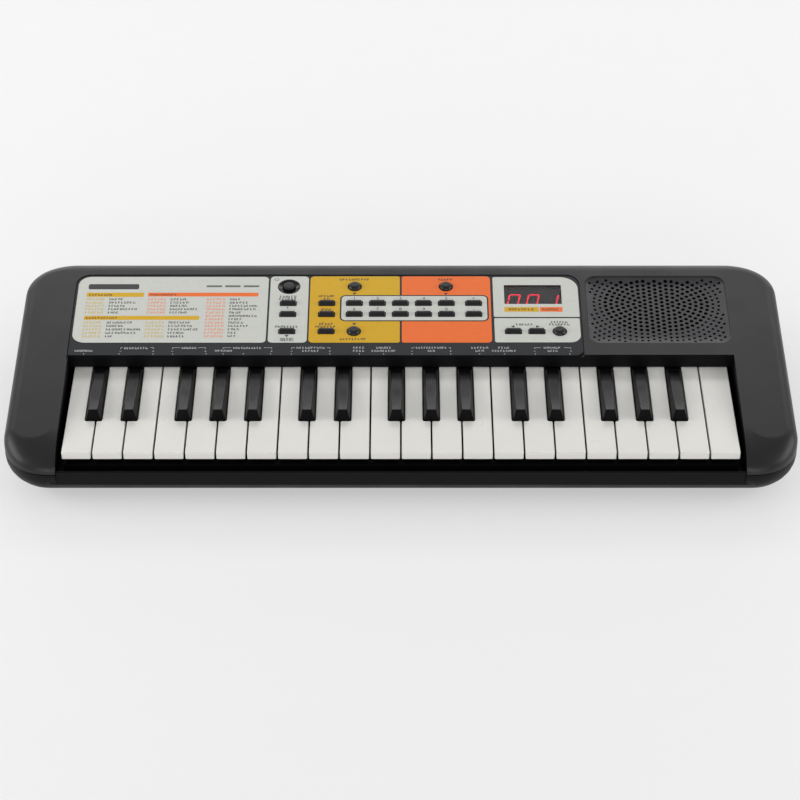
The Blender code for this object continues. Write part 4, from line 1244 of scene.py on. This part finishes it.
def make_round_button(node, place, profile):
    radius = profile[0][0]
    proud = radius + FLANGE_PROUD
    foot = [(STEM_HALF, -STEM_DEPTH), (STEM_HALF, -FLANGE_DEPTH[1]), (proud, -FLANGE_DEPTH[1])]
    foot += [(proud, -FLANGE_DEPTH[0]), (radius, -FLANGE_DEPTH[0])]
    mesh = moved(turned(node, [*foot, *profile], 48), *place, 0)
    add_piece(f"{node}_cap", smooth(mesh, 28), CAPS, node, PLANE, [node])


def make_number_pad():
    """Twelve caps on one web."""
    low = (PAD_COLUMNS[0] - WEB_MARGIN[0], PAD_ROWS[1] - WEB_MARGIN[1], -FLANGE_DEPTH[1])
    high = (PAD_COLUMNS[-1] + WEB_MARGIN[0], PAD_ROWS[0] + WEB_MARGIN[1], -FLANGE_DEPTH[0])
    caps = []
    for place in PAD_PLACES:
        rings = cap_rings(place)
        rings[0] = [(x, s, -sum(FLANGE_DEPTH) / 2) for x, s, _ in rings[0]]
        caps.append(loft("cap", rings))
    mesh = shaped("number_pad_caps", box("web", low, high), [("UNION", joined("caps", caps))])
    add_piece("number_pad_caps", smooth(mesh, 28), CAPS, "number_pad", PLANE, ["number_pad"])


def make_buttons():
    for node in BARS:
        make_bar_button(node)
    for node, place in ROUNDS.items():
        make_round_button(node, place, DOME_PROFILE)
    make_round_button("power_button", POWER, POWER_PROFILE)
    make_number_pad()
    dish = loft("power_dish", [level(circle(POWER, r, 64), z) for r, z in DISH_PROFILE], endless=True)
    add_piece("power_dish", smooth(dish), DISH, place=PLANE)


# --- Panel -----------------------------------------------------------------------------------------------


def make_panel():
    sheet = prism("panel", rounded(PANEL_X, PANEL_S, PANEL_RADII, 10), -PANEL_THICKNESS, 0)
    mesh = shaped("panel_sheet", sheet, [("DIFFERENCE", window_cutter())])
    add_piece("panel_sheet", smooth(mesh), STRIP, place=PLANE, replaces=["control_panel"])
    for ink, areas in ISLANDS.items():
        patches = []
        for area in areas:
            spans = [[value / 1000 for value in span] for span in area]
            patches.append(prism("patch", rounded(*spans, 8), -ISLAND_TOP / 2, ISLAND_TOP))
        add_sheet(f"panel_{ink}", joined("patches", patches), INKS[ink])
    for name, ink, grow, top in (
        ("pad_outline", INK_BLACK, PAD_OUTLINE, PRINT_TOP),
        ("pad_inset", CREAM, 0, PAD_TOP),
    ):
        outline = rounded(grown(PAD_INSET_X, grow), grown(PAD_INSET_S, grow), PAD_INSET_R + grow, 8)
        add_sheet(name, prism(name, outline, ISLAND_TOP / 2, top), ink)


def add_sheet(name, mesh, ink):
    """A flat area of ink, clear of every hole through the panel."""
    cut = shaped(name, mesh, [("DIFFERENCE", window_cutter(INK_CLEARANCE))])
    add_piece(name, smooth(cut), ink, place=PLANE)


class Print:
    """The marks of one ink, gathered into one thin piece. Places on the artwork are in millimetres."""

    def __init__(self, name, ink, top=PRINT_TOP):
        self.name, self.ink, self.top = name, ink, top
        self.marks = []

    def shape(self, outline):
        metres = [(x / 1000, s / 1000) for x, s in outline]
        self.marks.append(prism("mark", metres, self.top / 4, self.top))

    def bar(self, x_range, s_range, radius=0.0):
        self.shape(rounded(x_range, s_range, radius, 3))

    def word(self, x_range, s, height=2.0):
        """Stand-ins for letters: each has a stem and two of three strokes picked at random."""
        count = max(1, round((x_range[1] - x_range[0]) / height))
        pitch = (x_range[1] - x_range[0]) / count
        stroke = LETTER_STROKE * height
        low, high = s - height / 2, s + height / 2
        for i in range(count):
            x = x_range[0] + i * pitch
            end = x + pitch * LETTER_FILL
            self.bar((x, x + stroke), (low, high))
            strokes = (
                ((end - stroke, end), (low, s + height * random.choice((0.1, 0.5)))),
                ((x + stroke, end - stroke), (low, low + stroke)),
                ((x + stroke, end - stroke), (s - stroke / 2, s + stroke / 2)),
                ((x + stroke, end - stroke), (high - stroke, high)),
            )
            for across, upright in random.sample(strokes, 2):
                self.bar(across, upright)

    def triangle(self, place, size, heading):
        """An arrow head that points along heading, in degrees."""
        self.shape(arc(place, size, heading, 240, 2))

    def numeral(self, text, place, height=2.8):
        curve = bpy.data.curves.new("numeral", "FONT")
        curve.body = text
        curve.size = height / FIGURE_EM / 1000
        curve.align_x = "CENTER"
        curve.align_y = "CENTER"
        curve.extrude = self.top / 4
        holder = put_in_scene("numeral", curve)
        mesh = evaluated(holder)
        bpy.data.objects.remove(holder, do_unlink=True)
        self.marks.append(moved(mesh, place[0] / 1000, place[1] / 1000, self.top * 0.75))

    def make(self):
        add_piece(self.name, joined(self.name, self.marks), self.ink, place=PLANE)


def print_bars(name):
    ink, radius, spans = PLAIN_BARS[name]
    layer = Print(name, INKS[ink])
    for x_range, s_range in spans:
        layer.bar(x_range, s_range, radius)
    layer.make()


def print_lists():
    """The printed lists on the left: headings, then numbered rows of words."""
    words = Print("list_words", INK_DARK)
    tabs = {ink: Print(f"list_tabs_{ink}", INKS[f"pale_{ink}"]) for ink in ("yellow", "orange")}
    headings = Print("list_headings", INK_BROWN, BAR_WORD_TOP)
    print_bars("header_bar")
    print_bars("header_line")
    for x_range, s in LIST_HEADINGS:
        headings.word(x_range, s)
    for ink, tab_x, word_x, rows, lengths in LIST_COLUMNS:
        for row, length in zip(rows, lengths):
            tabs[ink].word(tab_x, row)
            words.word((word_x, word_x + length), row)
    words.make()
    print_bars("list_bars_yellow")
    print_bars("list_bars_orange")
    for layer in (*tabs.values(), headings):
        layer.make()


def print_strip():
    """The row of functions along the front edge of the panel."""
    white = Print("strip_words", INK_WHITE, PRINT_TOP / 2)
    for x_range, s in STRIP_WORDS:
        white.word(x_range, s, STRIP_WORD_HEIGHT)
    for x in STRIP_TICKS:
        white.bar(grown((x, x), TICK_HALF), TICK_S)
    for outer, inner in STRIP_BRACKETS:
        white.bar((min(outer, inner), max(outer, inner)), BRACKET_TOP_S)
        for half, s_range in BRACKET_PARTS[: 3 if inner < outer else 2]:
            white.bar(grown((outer, outer), half), s_range)
    white.make()


def print_labels():
    """Labels round the buttons."""
    dark = Print("labels", INK_DARK)
    for x_range, s in LABEL_WORDS:
        dark.word(x_range, s)
    for place, heading in LABEL_ARROWS:
        dark.triangle(place, ARROW_SIZE, heading)
    numerals = Print("numerals", INK_DARK, PAD_TOP + PRINT_TOP / 3)
    for text, s in NUMERAL_ROWS:
        for numeral, x in zip(text, NUMERAL_COLUMNS):
            numerals.numeral(numeral, (x, s))
    numerals.make()
    outside, inside = (arc(POWER_MARK, radius, 130, 280, 24) for radius in POWER_MARK_RADII)
    for quad in zip(outside, outside[1:], inside[1:], inside):
        dark.shape(quad)
    x, s = POWER_MARK
    dark.bar(grown((x, x), LINE_HALF), (s, s + POWER_MARK_STEM))
    sides, ends = LABEL_FRAME
    for s in ends:
        dark.bar(sides, grown((s, s), LINE_HALF))
    for x in sides:
        dark.bar(grown((x, x), LINE_HALF), ends)
    dark.make()
    print_bars("display_bar_yellow")
    print_bars("display_bar_orange")
    words = Print("display_bar_words", INK_BROWN, BAR_WORD_TOP)
    for x_range in DISPLAY_WORDS:
        words.word(x_range, DISPLAY_WORDS_S, DISPLAY_WORDS_HEIGHT)
    words.make()


def make_display():
    """The digit module's face, and three slanted digits of seven segments that read 001."""
    spans = (grown(WINDOW_X, DIGIT_FACE_MARGIN), grown(WINDOW_S, DIGIT_FACE_MARGIN))
    spans += (tuple(z - DIGIT_DEPTH for z in DIGIT_FACE_Z),)
    add_piece("digit_face", box("digit_face", *zip(*spans)), UNLIT_FACE, place=PLANE)
    half = SEGMENT_WIDTH / 2
    lit, dark = [], []
    for centre, segments in zip(DIGIT_CENTRES, DIGIT_SEGMENTS):
        for name, (x, s, upright) in SEGMENTS.items():
            long = (DIGIT_HEIGHT / 4 if upright else DIGIT_WIDTH / 2) - half * SEGMENT_GAP
            tip = long + half * SEGMENT_TIP
            outline = [(-tip, 0), (-long, -half), (long, -half), (tip, 0), (long, half), (-long, half)]
            if upright:
                outline = [(-b, a) for a, b in outline]
            placed = []
            for a, b in outline:
                up = s * DIGIT_HEIGHT / 2 + b
                placed.append((centre + x * DIGIT_WIDTH / 2 + a + up * math.tan(DIGIT_SLANT), DIGIT_S + up))
            target = lit if name in segments else dark
            target.append(prism("segment", placed, -DIGIT_DEPTH, DIGIT_RELIEF - DIGIT_DEPTH))
    add_piece("digits_lit", joined("digits_lit", lit), LIT, place=PLANE)
    add_piece("digits_unlit", joined("digits_unlit", dark), UNLIT, place=PLANE)


def make_sockets():
    """The metal sleeve of the headphone socket and the shell of the power socket."""
    rear = CAD_BOX[1].y
    sleeve = turned("sleeve", SLEEVE_PROFILE, 32)
    sleeve.transform(Matrix.Rotation(math.radians(-90), 4, "X"))
    moved(sleeve, JACK_X, rear - SLEEVE_DEPTH, REAR_OPENING_Z)
    add_piece("headphone_sleeve", smooth(sleeve), STEEL)
    rings = []
    for half_width, half_height, depth in SOCKET_SHELL:
        outline = around((POWER_SOCKET_X, REAR_OPENING_Z), half_width, half_height, SOCKET_R, 4)
        rings.append([(a, rear - depth, b) for a, b in outline])
    add_piece("power_socket_shell", smooth(loft("power_socket_shell", rings)), STEEL)


def dress_works():
    """Finishes for the works that keep their plain shapes."""
    finishes = {
        "main_board": BOARD,
        "key_chassis": KEYBED_BLACK_AND_PAINTED_SHADE,
        "key_contact_strip": RUBBER,
        "speaker_driver": STEEL,
        "display_lens": LENS,
    }
    for node, material in finishes.items():
        NODES[node].data.materials.clear()
        NODES[node].data.materials.append(material)


# --- Studio ----------------------------------------------------------------------------------------------


def add_softbox(name, place, target, size, power):
    lamp = bpy.data.lights.new(name, "AREA")
    lamp.shape = "RECTANGLE"
    lamp.size, lamp.size_y = size
    lamp.energy = power
    holder = put_in_scene(name, lamp)
    holder.location = place
    holder.rotation_euler = (Vector(target) - Vector(place)).to_track_quat("-Z", "Y").to_euler()
    holder.visible_camera = False


def make_studio():
    floor = put_in_scene("floor", prism("floor", rounded(FLOOR_SPAN, FLOOR_SPAN, FLOOR_CORNER_R), *FLOOR_Z))
    floor.data.materials.append(FLOOR)
    world = bpy.data.worlds.new("studio")
    world.use_nodes = True
    background = world.node_tree.nodes["Background"].inputs
    background["Color"].default_value = (1, 1, 1, 1)
    background["Strength"].default_value = WORLD_LEVEL
    bpy.context.scene.world = world
    for softbox in SOFTBOXES:
        add_softbox(*softbox)
    lens = bpy.data.cameras.new("camera")
    lens.lens = LENS_MM
    lens.sensor_width = SENSOR_MM
    lens.shift_x, lens.shift_y = LENS_SHIFT
    lens.clip_end = FAR_CLIP
    camera = put_in_scene("camera", lens)
    camera.location = CAMERA_PLACE
    camera.rotation_euler = (CAMERA_TILT, 0, 0)
    bpy.context.scene.camera = camera
    bpy.context.scene.view_settings.view_transform = "Standard"


random.seed(7)
make_upper_shell()
make_lower_shell()
make_battery_cover()
make_grille()
make_keys()
make_buttons()
make_panel()
print_lists()
print_strip()
print_labels()
make_display()
make_sockets()
dress_works()
make_studio()
